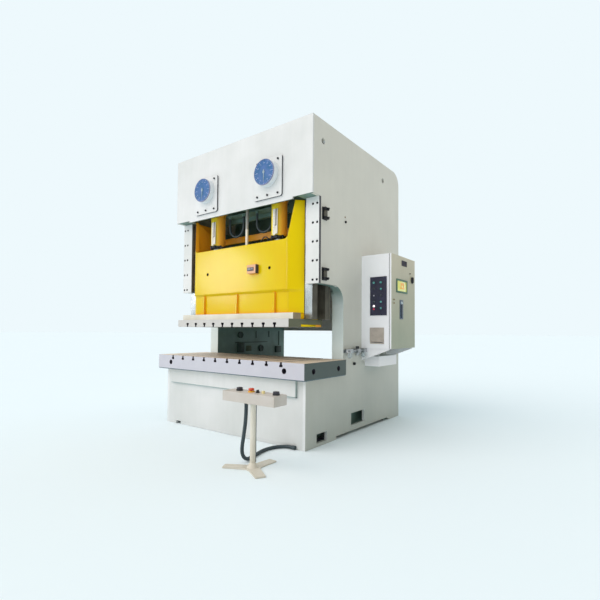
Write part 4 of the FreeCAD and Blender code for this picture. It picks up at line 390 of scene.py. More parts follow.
def slottedPlate(name, v):
    own = v[name]
    material, tree, place = newFinish(name, {"IOR": 1.5})
    axes = addNode(tree, "SeparateXYZ", {0: place})
    cloud = addNode(tree, "TexNoise", {
        "Scale": perMetre(v["cloud"]), "Detail": 5.0, "Vector": place}).outputs["Fac"]
    rows = addNode(tree, "Mapping", {"Scale": (v["feedStretch"], 1.0, 1.0), "Vector": place})
    marks = addNode(tree, "TexNoise", {
        "Scale": perMetre(v["feed"]), "Detail": 3.0,
        "Vector": rows.outputs[0]}).outputs["Fac"]
    colour, painted, dark = [
        addNode(tree, "Mix", {"data_type": "RGBA", 0: share, 6: hexColour(own[key][0]),
                              7: hexColour(own[key][1])}).outputs[2]
        for key, share in (("milled", marks), ("front", cloud), ("end", cloud))]
    atFront = addNode(tree, "Math", {
        "operation": "LESS_THAN", 0: axes.outputs["Y"], 1: own["frontY"]})
    away = addNode(tree, "Math", {"operation": "ABSOLUTE", 0: axes.outputs["X"]}).outputs[0]
    atEnd = addNode(tree, "Math", {"operation": "GREATER_THAN", 0: away, 1: own["endX"]})
    for share, tone in ((atFront, painted), (atEnd, dark)):
        colour = addNode(tree, "Mix", {
            "data_type": "RGBA", 0: share.outputs[0], 6: colour, 7: tone}).outputs[2]
    rounded = addNode(tree, "Bevel", {"samples": 4, "Radius": v["edge"]}).outputs[0]
    closeFinish(tree, colour, v["gloss"], marks, 0.15, 0.0006, marks, rounded)
    return material


for name in ("bolsterPlate", "slidePlate"):
    finishes[name] = slottedPlate(name, plateValues)
print("finishes made:", len(finishes))

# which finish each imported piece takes
nodeFinishes = {
    "shadedFlankEnamel": ["side_plates"],
    "paleEnamel": ["crown_front_plate", "crown_shell", "base_front_plate", "front_gib_plates",
        "bearing_covers"],
    "greenEnamelAndShade": ["column_boxes", "crown_bulkheads", "bed_structure", "balance_cylinder"],
    "cabinetCoat": ["cabinet_body", "cabinet_brackets"],
    "doorCoat": ["cabinet_door"],
    "standEnamel": ["pedestal_stand"],
    "consoleEnamel": ["control_box"],
    "yellowEnamel": ["slide_body", "slide_fittings"],
    "rodEnamel": ["connecting_rods"],
    "ivoryEnamel": ["slide_front_bar", "rod_scales"],
    "bolsterPlate": ["bolster"],
    "slidePlate": ["slide_plate"],
    "groundWay": ["guide_rails", "gib_blocks"],
    "creamRod": ["balance_rod"],
    "turnedSteel": ["adjust_screw_right", "adjust_screw_left", "ball_seats", "crankshaft_right",
        "crankshaft_left"],
    "oiledSteel": ["main_gear_right", "main_gear_left", "pinion_shaft_right", "pinion_shaft_left",
        "clutch_shaft"],
    "castIron": ["flywheel", "motor_pulley"],
    "motorEnamel": ["motor"],
    "gibBronze": ["gib_liners"],
    "blackOxide": ["gib_adjusters", "frame_bolts", "rod_clamps"],
    "castAluminium": ["air_unit"],
    "bowlClear": ["air_bowls"],
    "hoseRubber": ["oil_hoses"],
    "beltRubber": ["drive_belts"],
    "dialWhite": ["dial_housings"],
    "panelNavy": ["cabinet_panels"],
    "lampTeal": ["indicator_lamps", "panel_button_start"],
    "lampDark": ["panel_button_stop"],
    "blackPlastic": ["door_fittings", "main_switch", "regulator_knob", "palm_button_left",
        "palm_button_right", "selector_switch"],
    "collarYellow": ["control_collars"],
    "buttonRed": ["estop_button"],
}
for finish, names in nodeFinishes.items():
    for name in names:
        nodes[name].data.materials.clear()
        nodes[name].data.materials.append(finishes[finish])


# true of faces that lie inside the outer planes of a piece, as in its slots and holes
def insideOf(name, margin=0.0015):
    low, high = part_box(name)
    return lambda at, out: all(a + margin < c < b - margin for a, c, b in zip(low, at, high))


def inThroat(at, out):
    return -0.62 < at.y < -0.45 and 0.8 < at.z < 1.93 and out.y < -0.1


def isUnderside(at, out):
    return out.z < -0.5 and at.z < 1.2


# faces that take another finish than their piece, by their place and the way they look
faceFinishes = [
    # faces inside the plates' slots take dark fill as painted shade
    ("bolster", "darkFillAndSlotShade", insideOf("bolster")),
    ("slide_plate", "darkFillAndSlotShade", insideOf("slide_plate")),
    ("cabinet_panels", "grilleTan", lambda at, out: at.z < 1.5),
    # the pale front plate's underside and back take the dark green as painted shade
    ("crown_front_plate", "greenEnamelAndShade", lambda at, out: out.z < -0.5 or out.y > 0.5),
    # side faces of the cover plates and gib plates take a painted shadow line
    ("bearing_covers", "paintedEdgeShadow", lambda at, out: out.y > -0.5),
    ("front_gib_plates", "paintedEdgeShadow", lambda at, out: abs(out.x) > 0.7),
    # the side plates' faces that turn to the front take the lighter copy as painted light
    ("side_plates", "litEdgeEnamel", lambda at, out: out.y < -0.9 and (at.y < -0.9 or at.z < 0.4)),
    # the throat's faces, with painted shade where the curve turns down
    ("side_plates", "throatEnamel", inThroat),
    ("column_boxes", "throatEnamel", inThroat),
    # rear rails, rail sides and the slide's sides take painted shade over the oil
    ("guide_rails", "oilAndShadeFlank", lambda at, out: out.y > -0.5 or at.y > -0.8),
    ("slide_body", "oilAndShadeFlank", lambda at, out: abs(out.x) > 0.9 and abs(at.x) > 1.035),
    # the left horn's inner face, the ribs' right sides and the deck's back strip take painted
    # orange shade
    ("slide_body", "paintedOrangeShade",
     lambda at, out: (out.x > 0.7 and at.z > 2.4 and at.x < 0.9)
     or (out.x > 0.7 and at.y < -1.1 and at.z < 1.86)
     or (out.y < -0.7 and at.y > -0.9 and at.z > 2.45)),
    # the bar's right end takes painted shade
    ("slide_front_bar", "oiledTanShade", lambda at, out: out.x > 0.7),
    # faces in the openings behind the slide's front take dark fill as painted shade
    ("slide_body", "darkFillAndSlotShade",
     lambda at, out: 2.0 < at.z < 2.35 and abs(at.x) < 0.8 and -1.134 < at.y < -1.05),
    ("bed_structure", "pitShade",
     lambda at, out: at.z < 0.5 and abs(at.x) < 1.243 and abs(at.y) < 1.2),
    # undersides of the cabinet, its door and its brackets take painted shade
    ("cabinet_body", "undersideShade", isUnderside),
    ("cabinet_door", "undersideShade", isUnderside),
    # the door's front-facing edge takes the white coat as painted light
    ("cabinet_door", "cabinetCoat", lambda at, out: out.y < -0.7),
    ("cabinet_brackets", "undersideShade", lambda at, out: out.z < -0.5),
    ("control_collars", "blackPlastic",
     lambda at, out: at.x < 1.1 or 1.22 < at.x < 1.3 or at.x > 1.4),
    ("control_collars", "lampCream", lambda at, out: 1.3 < at.x < 1.4),
    ("base_front_plate", "hoseRubber",
     lambda at, out: at.z < 0.06 and 1.1 < at.x < 1.18 and at.y < -1.2805),
]
for name, finish, test in faceFinishes:
    mesh = nodes[name].data
    mesh.materials.append(finishes[finish])
    for face in mesh.polygons:
        if test(face.center, face.normal):
            face.material_index = len(mesh.materials) - 1
print("packed pieces finished")

# the hose from the control box over the floor to the base
hoseValues = {
    "route": [(1.098, -2.042, 0.636), (1.098, -2.042, 0.490), (1.070, -2.042, 0.310),
              (1.042, -2.045, 0.146), (1.030, -2.008, 0.066), (1.016, -1.935, 0.0205),
              (0.992, -1.840, 0.0196), (0.955, -1.710, 0.0197), (0.922, -1.580, 0.0196),
              (0.925, -1.469, 0.0197), (0.950, -1.384, 0.0197), (1.000, -1.327, 0.0205),
              (1.060, -1.300, 0.024), (1.120, -1.300, 0.024)],
    "thickness": 0.038, "length": 1.43,
}


def addHose(v):
    curve = bpy.data.curves.new("controlHose", "CURVE")
    curve.dimensions = "3D"
    curve.bevel_depth, curve.bevel_resolution = v["thickness"] / 2, 6
    curve.resolution_u, curve.use_fill_caps = 10, True
    line = curve.splines.new("NURBS")
    line.points.add(len(v["route"]) - 1)
    for point, place in zip(line.points, v["route"]):
        point.co = (*place, 1)
    line.order_u = 3
    line.use_endpoint_u = True
    curve.materials.append(finishes["hoseRubber"])
    hose = bpy.data.objects.new("controlHose", curve)
    bpy.context.collection.objects.link(hose)
    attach(hose, "frame")
    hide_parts("pedestal_hose")


addHose(hoseValues)
print("hose laid")

# shaping the added pieces
outward = {"x": Vector((1, 0, 0)), "y": Vector((0, -1, 0)), "z": Vector((0, 0, 1))}


def selectOnly(*pieces):
    bpy.ops.object.select_all(action="DESELECT")
    for piece in pieces:
        piece.select_set(True)
    bpy.context.view_layer.objects.active = pieces[0]


def startBlock(low, high, soft=0):
    bpy.ops.object.select_all(action="DESELECT")
    bpy.ops.mesh.primitive_cube_add(size=1, location=[(a + b) / 2 for a, b in zip(low, high)])
    piece = bpy.context.object
    piece.scale = [b - a for a, b in zip(low, high)]
    bpy.ops.object.transform_apply()
    return softenEdges(piece, soft) if soft else piece


# axis is x, y or z; at gives the two other coordinates in their order
def startDisc(axis, radius, start, end, at, sides=32, steps=(), soft=0, both=False):
    middle = list(at)
    middle.insert("xyz".index(axis), (start + end) / 2)
    turns = {"x": (0, math.pi / 2, 0), "y": (math.pi / 2, 0, 0), "z": (0, 0, 0)}
    bpy.ops.object.select_all(action="DESELECT")
    bpy.ops.mesh.primitive_cylinder_add(vertices=sides, radius=radius, depth=abs(end - start),
                                        location=middle, rotation=turns[axis])
    bpy.ops.object.transform_apply()
    return shapePiece(bpy.context.object, axis, steps, soft, both)


# raised figures as a mesh that faces the front, with their middle at a place
def startFigures(text, size, raised, place, spacing=1.0, scale=1.0):
    words = bpy.data.curves.new("figures", "FONT")
    words.body, words.size, words.extrude = text, size, raised
    words.space_character = spacing
    words.align_x, words.align_y = "CENTER", "CENTER"
    figures = bpy.data.objects.new("figures", words)
    bpy.context.collection.objects.link(figures)
    figures.location, figures.scale = place, (scale, scale, 1)
    figures.rotation_euler = (math.pi / 2, 0, 0)
    selectOnly(figures)
    bpy.ops.object.convert(target="MESH")
    bpy.ops.object.transform_apply()
    return figures


# edit mode with the faces selected that look out along an axis, or to both its ends
def editFaces(piece, axis, both=False):
    selectOnly(piece)
    bpy.ops.object.mode_set(mode="EDIT")
    bpy.ops.mesh.select_mode(type="FACE")
    bpy.ops.mesh.select_all(action="DESELECT")
    shape = bmesh.from_edit_mesh(piece.data)
    for face in shape.faces:
        facing = face.normal.dot(outward[axis])
        face.select_set((abs(facing) if both else facing) > 0.99)
    bmesh.update_edit_mesh(piece.data)


def softenEdges(piece, width):
    selectOnly(piece)
    edge = piece.modifiers.new("softEdge", "BEVEL")
    edge.width, edge.segments, edge.limit_method = width, 2, "ANGLE"
    edge.angle_limit = math.radians(35)
    bpy.ops.object.modifier_apply(modifier="softEdge")
    return piece


# insets the outward face, or both ends, by (width, height) steps, then softens the edges
def shapePiece(piece, axis, steps, soft=0, both=False):
    if steps:
        editFaces(piece, axis, both)
        for width, height in steps:
            bpy.ops.mesh.inset(thickness=width, depth=height)
        bpy.ops.object.mode_set(mode="OBJECT")
    return softenEdges(piece, soft) if soft else piece


# cuts the outward face into cells and sinks each of them between thin walls
def sinkCells(piece, axis, cuts, wall, depth):
    editFaces(piece, axis)
    bpy.ops.mesh.subdivide(number_cuts=cuts)
    bpy.ops.mesh.inset(thickness=wall, depth=-depth, use_individual=True)
    bpy.ops.object.mode_set(mode="OBJECT")


# a copy of the piece at each shift, with its own mesh, in place of the piece itself
def copyTo(piece, shifts):
    copies = []
    for shift in shifts:
        twin = piece.copy()
        twin.data = piece.data.copy()
        bpy.context.collection.objects.link(twin)
        twin.data.transform(Matrix.Translation(shift))
        copies.append(twin)
    bpy.data.objects.remove(piece)
    return copies


def joinPieces(pieces):
    selectOnly(*pieces)
    if len(pieces) > 1:
        bpy.ops.object.join()
    return bpy.context.object


def placePiece(name, pieces, body, finish, slot, *replaced):
    piece = joinPieces(pieces)
    piece.name = piece.data.name = name
    bpy.ops.object.shade_smooth_by_angle(angle=math.radians(35))
    piece.data.materials.clear()
    piece.data.materials.append(finishes[finish])
    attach(piece, body)
    if replaced:
        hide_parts(*replaced)
    return piece


# one bevelled block or several, joined, of one finish
def addBlocks(name, body, finish, slot, boxes, soft=0.001):
    blocks = [startBlock(low, high, min(soft, 0.3 * min(b - a for a, b in zip(low, high))))
              for low, high in boxes]
    placePiece(name, blocks, body, finish, slot)


# socket head screws of the gib plates and bearing covers, and the pipe plugs
screwValues = {
    "heads": ((0.0118, -1.028, -1.016), (0.013, -1.201, -1.188)),  # radius, front and back
    "socket": 0.48, "socketDepth": 0.55, "soft": 0.09,
    "gibColumns": (-1.256, -1.193, 1.193, 1.256),
    "gibRows": [1.985 + 0.232 * i for i in range(5)],
    "coverPlaces": [(-0.173, 3.09), (0, 3.09), (0.173, 3.09), (-0.173, 3.522), (0.173, 3.522)],
    "plugs": ((0.016, 1.299, (-0.418, 2.805)), (0.020, 1.309, (-0.186, 0.928))),
    "flank": 1.285, "plugSocket": 0.5, "plugDepth": 0.007, "plugSoft": 0.0015, "wall": 0.0001,
}


def addScrews(v):
    gib, cover = (
        startDisc("y", radius, front, back, (0, 0), 18,
                  [(radius * v["socket"], 0), (v["wall"], (front - back) * v["socketDepth"])],
                  radius * v["soft"])
        for radius, front, back in v["heads"])
    screws = copyTo(gib, [(x, 0, z) for x in v["gibColumns"] for z in v["gibRows"]])
    screws += copyTo(cover, [(x + dx, 0, z) for x in dialValues["columns"]
                             for dx, z in v["coverPlaces"]])
    screws += [startDisc("x", radius, v["flank"], end, at, 24,
                         [(radius * v["plugSocket"], 0), (v["wall"], -v["plugDepth"])],
                         v["plugSoft"])
               for radius, end, at in v["plugs"]]
    placePiece("frameScrews", screws, "frame", "blackOxide", "black_steel", "frame_bolts")


# angle dials: rim and blue face, figures and marks, and a pointer on each crankshaft
dialValues = {
    "columns": (-0.591, 0.591), "height": 3.365, "radius": 0.166, "rim": 0.007,
    "front": -1.266, "back": -1.251, "face": -1.2625, "slope": 0.0012, "soft": 0.0012,
    "marks": ((12, 0.0035, 0.009), (36, 0.0013, 0.002)),  # count, half width, reach inwards
    "markRing": 0.146, "markOut": 0.008, "markDepth": (-0.0006, 0.0004),
    "figureRing": 0.116, "figureSizes": (0.0221, 0.01872), "figureDepth": (-0.0003, 0.0004),
    "pointer": 0.132, "pointerTail": 0.034, "pointerHalf": 0.006,
    "pointerDepth": (-0.0045, -0.002), "taper": 0.86, "curve": 1.4,
    "hub": 0.017, "hubDepth": (-0.0065, 0.0005), "hubSteps": [(0.005, 0.0012), (0.004, -0.0018)],
    "pointerSoft": 0.0006,
}


def addDials(v):
    marks, front, height = [], v["face"], v["height"]
    depths = {key: [front + depth for depth in v[f"{key}Depth"]]
              for key in ("mark", "pointer", "hub")}
    for side, x in zip(("left", "right"), v["columns"]):
        dial = startDisc("y", v["radius"], v["front"], v["back"], (x, height), 72,
                         [(v["rim"], 0), (v["slope"], v["front"] - front)], v["soft"])
        placePiece(f"dialFace.{side}", [dial], "frame", "dialBlue", "dial_blue")
        dial.data.materials.append(finishes["dialRim"])
        for face in dial.data.polygons:
            away = math.hypot(face.center.x - x, face.center.z - height)
            if away > v["radius"] - v["rim"]:
                face.material_index = 1
        for count, half, inwards in v["marks"]:
            ring = height + v["markRing"]
            mark = startBlock((x - half, depths["mark"][0], ring - inwards),
                              (x + half, depths["mark"][1], ring + v["markOut"]))
            selectOnly(mark)
            bpy.ops.object.mode_set(mode="EDIT")
            bpy.ops.mesh.select_all(action="SELECT")
            bpy.ops.mesh.spin(steps=count, dupli=True, angle=math.tau, axis=(0, 1, 0),
                              center=(x, front, height))
            bpy.ops.mesh.remove_doubles(threshold=0.00005)
            bpy.ops.object.mode_set(mode="OBJECT")
            marks.append(mark)
        for angle in range(0, 360, 30):
            # figures stand upright, and zero is at the foot, where the slide is down
            turn = math.radians(angle)
            shift, raised = v["figureDepth"]
            place = (x - v["figureRing"] * math.sin(turn), front + shift,
                     height - v["figureRing"] * math.cos(turn))
            marks.append(startFigures(str(angle), v["figureSizes"][angle > 90], raised, place))
        half, (near, far) = v["pointerHalf"], depths["pointer"]
        pointer = startBlock((x - half, near, height - v["pointer"]),
                             (x + half, far, height + v["pointerTail"]))
        selectOnly(pointer)
        bpy.ops.object.mode_set(mode="EDIT")
        bpy.ops.mesh.select_mode(type="VERT")
        bpy.ops.mesh.select_all(action="SELECT")
        bpy.ops.mesh.subdivide(number_cuts=2)
        shape = bmesh.from_edit_mesh(pointer.data)
        for point in shape.verts:
            reach = max((height - point.co.z) / v["pointer"], 0)
            point.co.x = x + (point.co.x - x) * (1 - v["taper"] * reach ** v["curve"])
        bmesh.update_edit_mesh(pointer.data)
        bpy.ops.object.mode_set(mode="OBJECT")
        hub = startDisc("y", v["hub"], *depths["hub"], (x, height), 32, v["hubSteps"])
        joined = softenEdges(joinPieces([pointer, hub]), v["pointerSoft"])
        placePiece(f"dialPointer.{side}", [joined], f"crank_{side}", "pointerGrey",
                   "ground_steel")
    placePiece("dialFigures", marks, "frame", "dialInk", "frame_light")


addScrews(screwValues)
addDials(dialValues)
print("screws and dials added")

# control panel: lamps in rims, two push buttons, and the wire mesh over the grille
panelValues = {
    "columns": (1.483, 1.587), "rows": (1.942, 1.853, 1.766, 1.68), "buttonRow": 2.03,
    "lenses": (("lampDark", "lampGrey", "lampDark", None),
               ("dullTeal", "lampDark", "dullTeal", "dullTeal")),
    "double": ((0.030, "lampWhite", 0.014), (-0.012, "lampRed", 0.0115)),
    "rim": (0.0195, 0.014, 0.0205), "cap": (0.0145, 0.004, 0.034),  # radius, front and back
    "rimSteps": [(0.0045, 0), (0.0008, -0.003)], "capSteps": [(0.003, 0), (0.001, -0.0012)],
    "capSoft": 0.0012, "lens": 0.0135, "smallLens": 0.75, "lensDepth": (0.011, 0.0185),
    "lensSteps": ((0.25, 0.0014), (0.3, 0.0012)),  # the widths are shares of the radius
    "mesh": ((1.419, 0.0185, 1.222), (1.625, 0.0245, 1.412)), "meshCuts": 22,
    "meshWire": 0.0014, "meshDepth": 0.0016,
}


def addPanel(v):
    lenses = {}

    def addLens(x, z, finish, radius):
        steps = [(radius * width, height) for width, height in v["lensSteps"]]
        lens = startDisc("y", radius, *v["lensDepth"], (x, z), 24, steps)
        lenses.setdefault(finish, []).append(lens)

    rim = startDisc("y", *v["rim"], (0, 0), 32, v["rimSteps"])
    rims = copyTo(rim, [(x, 0, z) for x in v["columns"] for z in (v["buttonRow"], *v["rows"])])
    placePiece("lampRims", rims, "frame", "panelNavy", "dark_fittings", "indicator_lamps")
    for x, column in zip(v["columns"], v["lenses"]):
        for z, finish in zip(v["rows"], column):
            if finish:
                scale = v["smallLens"] if finish == "lampGrey" else 1
                addLens(x, z, finish, v["lens"] * scale)
                continue
            for shift, colour, radius in v["double"]:
                addLens(x, z + shift, colour, radius)
    for finish, pieces in lenses.items():
        placePiece(f"panelLens.{finish}", pieces, "frame", finish, "lamp_lens")
    for name, x in zip(("start", "stop"), v["columns"]):
        cap = startDisc("y", *v["cap"], (x, v["buttonRow"]), 28, v["capSteps"], v["capSoft"])
        placePiece(f"pushButton.{name}", [cap], f"{name}_button", "dullTeal", "lamp_lens",
                   f"panel_button_{name}")
    mesh = startBlock(*v["mesh"])
    sinkCells(mesh, "y", v["meshCuts"], v["meshWire"], v["meshDepth"])
    placePiece("grilleMesh", [mesh], "frame", "grilleTan", "cabinet_paint")


# cabinet door: screen, vent, swing handle, locks and main switch
doorValues = {
    "face": 1.7335,
    "plates": {  # low and high corner, thickness, finish, inset steps
        "screenFrame": ((0.186, 1.902), (0.552, 2.091), 0.012, "screenFrame",
                        [(0.022, 0), (0.003, -0.007)]),
        "doorVent": ((0.369, 2.290), (0.540, 2.366), 0.007, "darkFillAndSlotShade", ()),
        "handlePlate": ((0.300, 1.536), (0.418, 1.806), 0.004, "handleBlue",
                        [(0.012, 0), (0.002, -0.0025)]),
        "handleLever": ((0.336, 1.556), (0.384, 1.742), 0.012, "handleLever",
                        [(0.012, 0.002)]),
        "switchPlate": ((0.668, 2.066), (0.790, 2.172), 0.0052, "doorCoat", [(0.008, 0.001)]),
    },
    "sink": 0.0002, "soft": 0.001, "ventCuts": 3, "ventWall": 0.004, "ventDepth": 0.005,
    "glass": [((0.2115, 1.9275), (0.5265, 2.0655))], "glassDepth": (0.0045, 0.0065),
    "picture": [((0.300, 1.960), (0.455, 1.978)), ((0.318, 1.978), (0.352, 2.046)),
                ((0.404, 1.978), (0.438, 2.046)), ((0.352, 2.010), (0.404, 2.046))],
    "pictureDepth": (0.006, 0.0072),
    # main lock, two small locks, hinge pin: place and radius
    "locks": ((0.360, 1.766, 0.021), (0.106, 1.798, 0.011), (0.106, 1.75, 0.011),
              (0.66, 2.208, 0.009)),
    "lockDepth": (0.001, 0.011), "lockWidth": 0.3, "lockStep": (0.0005, -0.002),
    "switch": (0.729, 2.118, 0.048), "knobDepth": (0.0055, 0.018), "knobSteps": [(0.006, 0)],
    "knobSoft": 0.002, "barDepth": (0.017, 0.031), "barHalf": 0.010, "barReach": 0.86,
    "barSoft": 0.004,
    "gapShadow": ((1.7008, 0.0292, 1.133), (1.7085, 0.0345, 2.417)),
}


def addDoor(v):
    x = v["face"]

    # boxes on the door between two depths, from their corners seen from the side
    def onDoor(corners, depth):
        return [((x + depth[0], *low), (x + depth[1], *high)) for low, high in corners]

    def addPlate(name, *replaced):
        low, high, thick, finish, steps = v["plates"][name]
        block = startBlock((x - v["sink"], *low), (x + thick, *high))
        return placePiece(name, [shapePiece(block, "x", steps, v["soft"])], "door", finish,
                          "dark_fittings", *replaced)

    addPlate("screenFrame", "door_fittings")
    addBlocks("screenGlass", "door", "screenGreen", "lamp_lens",
              onDoor(v["glass"], v["glassDepth"]))
    addBlocks("screenPicture", "door", "screenOrange", "lamp_lens",
              onDoor(v["picture"], v["pictureDepth"]))
    sinkCells(addPlate("doorVent"), "x", v["ventCuts"], v["ventWall"], v["ventDepth"])
    for name in ("handlePlate", "handleLever", "switchPlate"):
        addPlate(name)
    start, end = (x + depth for depth in v["lockDepth"])
    locks = [startDisc("x", radius, start, end, (y, z), 28,
                       [(radius * v["lockWidth"], 0), v["lockStep"]], v["soft"])
             for y, z, radius in v["locks"]]
    # the chrome lock drawn as pale paint, a painted reflection
    placePiece("doorLock", locks[:1], "door", "paintedChromeGlint", "ground_steel")
    placePiece("doorSmallLocks", locks[1:3], "door", "lockBrass", "dark_fittings")
    placePiece("doorPin", locks[3:], "door", "blackOxide", "dark_fittings")
    y, z, radius = v["switch"]
    start, end = (x + depth for depth in v["knobDepth"])
    knob = startDisc("x", radius, start, end, (y, z), 40, v["knobSteps"], v["knobSoft"])
    half, reach = v["barHalf"], radius * v["barReach"]
    bar = startBlock(*onDoor([((y - half, z - reach), (y + half, z + reach))],
                             v["barDepth"])[0], v["barSoft"])
    placePiece("mainSwitchKnob", [knob, bar], "main_switch", "blackPlastic", "dark_fittings",
               "main_switch")
    # dark strip that paints the shadow in the gap between body and door
    addBlocks("doorGapShadow", "frame", "darkFillAndSlotShade", "dark_fittings", [v["gapShadow"]])


# two-hand control: palm buttons in guards, emergency stop, selector
consoleValues = {  # radius, low and high end over the box's top, inset steps, softness
    "top": 0.748, "buttons": ("palm_button_left", "palm_button_right", "estop_button",
                              "selector_switch"),
    "stem": 0.0088, "stemTop": 0.0205, "stemSoft": 0.0008,
    "guard": (0.035, 0, 0.016, [(0.0018, 0), (0.0002, -0.0135)], 0),
    "palm": (0.0315, 0.0118, 0.034, [(0.008, 0.002), (0.010, 0.001)], 0.002),
    "stop": (0.0295, 0.0187, 0.036, [(0.007, 0.003), (0.009, 0.0012)], 0.0025),
    "selector": (0.0185, 0.0066, 0.015, (), 0.0015),
    "grip": (0.0055, 0.016, 0.014, 0.030), "gripSoft": 0.002,  # half sizes, low and high end
    "pipe": (0.0085, 0.060, 0.637), "pipePlace": (1.2225, -2.033), "pipeSoft": 0.001,
}


def addConsole(v):
    top, middles, stems = v["top"], {}, {}
    # each cap stands on its own stem, which passes through the collar as in the solid
    for button in v["buttons"]:
        low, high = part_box(button)
        middles[button] = [(low[i] + high[i]) / 2 for i in (0, 1)]
        stems[button] = startDisc("z", v["stem"], low[2], top + v["stemTop"],
                                  middles[button], 24, soft=v["stemSoft"])

    def onTop(key, button, sides=40):
        radius, low, high, steps, soft = v[key]
        return startDisc("z", radius, top + low, top + high, middles[button], sides, steps,
                         soft)

    guards = []
    for side in ("left", "right"):
        button = f"palm_button_{side}"
        guards.append(onTop("guard", button))
        placePiece(f"palmButton.{side}", [onTop("palm", button), stems[button]],
                   f"palm_{side}", "palmSlate", "dark_fittings", button)
    placePiece("palmGuards", guards, "frame", "blackPlastic", "dark_fittings")
    placePiece("stopMushroom", [onTop("stop", "estop_button"), stems["estop_button"]],
               "estop", "buttonRed", "button_red", "estop_button")
    x, y = middles["selector_switch"]
    halfX, halfY, low, high = v["grip"]
    grip = startBlock((x - halfX, y - halfY, top + low), (x + halfX, y + halfY, top + high),
                      v["gripSoft"])
    knob = [onTop("selector", "selector_switch", 32), grip, stems["selector_switch"]]
    placePiece("selectorKnob", knob, "selector", "blackPlastic", "dark_fittings",
               "selector_switch")
    # pipe that carries the wires down behind the post
    pipe = startDisc("z", *v["pipe"], v["pipePlace"], 20, soft=v["pipeSoft"])
    placePiece("standPipe", [pipe], "frame", "hoseRubber", "hose_black")


# on the slide: stroke counter, eye bolts and small screws on the deck, clamp rings
slideValues = {
    "counter": ((0.246, -1.190, 2.110), (0.398, -1.1345, 2.222)),
    "counterSteps": [(0.006, 0), (0.0015, -0.0012)], "counterSoft": 0.003,
    "cover": ((0.3975, -1.188, 2.108), (0.404, -1.1345, 2.224)),
    "window": ((0.252, -1.1925, 2.143), (0.366, -1.1895, 2.188)),
    # digits: text, size, raised by, place, spacing, narrowed to
    "digits": ("04175", 0.042, 0.0003, (0.309, -1.1927, 2.1655), 1.08, 0.8),
    "deck": 2.512, "eyes": ((-0.33, 0.024), (0.488, 0.056)), "eyeY": -1.108, "eyeWire": 0.0075,
    "deckScrews": (-0.150, -0.015, 0.282, 0.364), "screwY": -1.118,
    "screw": (0.013, 2.509, 2.522), "screwSteps": [(0.005, 0), (0.0001, -0.005)],
    "rods": (-0.591, 0.591), "rodY": -0.945, "ring": (0.1065, 2.566, 2.592), "ringSoft": 0.003,
    "bolt": (0.014, 2.560, 2.604), "boltSteps": [(0.005, 0), (0.0001, -0.006)],
    "boltRing": 0.104, "bolts": 8,
    "scales": (-0.546, 0.636), "scaleTop": 2.9395, "scaleFoot": 2.722, "scaleFront": -1.0632,
    "scaleBack": -1.0615, "markFront": -1.0626, "markFoot": 2.64, "markStep": 0.02,
    "strip": ((1.0395, -1.054, 1.416), (1.0430, -0.740, 1.444)),
    "tail": ((1.0395, -0.740, 1.416), (1.0430, -0.622, 1.444)),
}


def addSlideFittings(v):
    box = shapePiece(startBlock(*v["counter"]), "y", v["counterSteps"], v["counterSoft"])
    placePiece("strokeCounter", [box], "slide", "counterPeach", "dark_fittings",
               "slide_fittings")
    addBlocks("counterCover", "slide", "darkFillAndSlotShade", "dark_fittings", [v["cover"], v["window"]])
    placePiece("counterDigits", [startFigures(*v["digits"])], "slide", "dialWhite",
               "dark_fittings")
    deck, eyes = v["deck"], []
    for x, size in v["eyes"]:
        bpy.ops.object.select_all(action="DESELECT")
        bpy.ops.mesh.primitive_torus_add(major_radius=size, minor_radius=v["eyeWire"],
                                         major_segments=40, minor_segments=12,
                                         location=(x, v["eyeY"], deck + size * 0.25),
                                         rotation=(math.pi / 2, 0, 0))
        eyes.append(bpy.context.object)
        bpy.ops.object.transform_apply()
        bpy.ops.object.mode_set(mode="EDIT")
        bpy.ops.mesh.select_all(action="SELECT")
        bpy.ops.mesh.bisect(plane_co=(x, v["eyeY"], deck - 0.006), plane_no=(0, 0, 1),
                            clear_inner=True, use_fill=True)
        bpy.ops.object.mode_set(mode="OBJECT")
    screw = startDisc("z", *v["screw"], (0, v["screwY"]), 18, v["screwSteps"])
    eyes += copyTo(screw, [(x, 0, 0) for x in v["deckScrews"]])
    placePiece("deckEyes", eyes, "slide", "blackOxide", "black_steel")
    ring = startDisc("z", *v["ring"], (0, v["rodY"]), 64, soft=v["ringSoft"])
    bolt = startDisc("z", *v["bolt"], (0, v["rodY"]), 16, v["boltSteps"], both=True)
    turns = [math.tau * (i + 0.5) / v["bolts"] for i in range(v["bolts"])]
    rings = copyTo(ring, [(x, 0, 0) for x in v["rods"]])
    rings += copyTo(bolt, [(x + v["boltRing"] * math.cos(turn),
                            v["boltRing"] * math.sin(turn), 0)
                           for x in v["rods"] for turn in turns])
    placePiece("clampRings", rings, "connection", "blackOxide", "black_steel", "rod_clamps")
    marks = []
    for x in v["scales"]:
        foot, front, back = v["scaleFoot"], v["scaleFront"], v["scaleBack"]
        marks += [((x - 0.012, front, foot), (x + 0.004, back, v["scaleTop"])),
                  ((x - 0.026, front, foot), (x + 0.002, back, foot + 0.0085))]
        for i in range(15):  # every fifth mark is longer
            z = v["markFoot"] + v["markStep"] * i
            marks.append(((x - 0.052, v["markFront"], z),
                          (x - (0.030 if i % 5 else 0.022), back, z + 0.0015)))
    addBlocks("scaleMarks", "connection", "darkFillAndSlotShade", "dark_fittings", marks, soft=0.0003)
    addBlocks("plateEndStrip", "slide", "yellowEnamel", "slide_yellow", [v["strip"]])
    # the strip's rear end in painted orange shade
    addBlocks("plateEndShadedTail", "slide", "paintedOrangeShade", "slide_yellow", [v["tail"]])


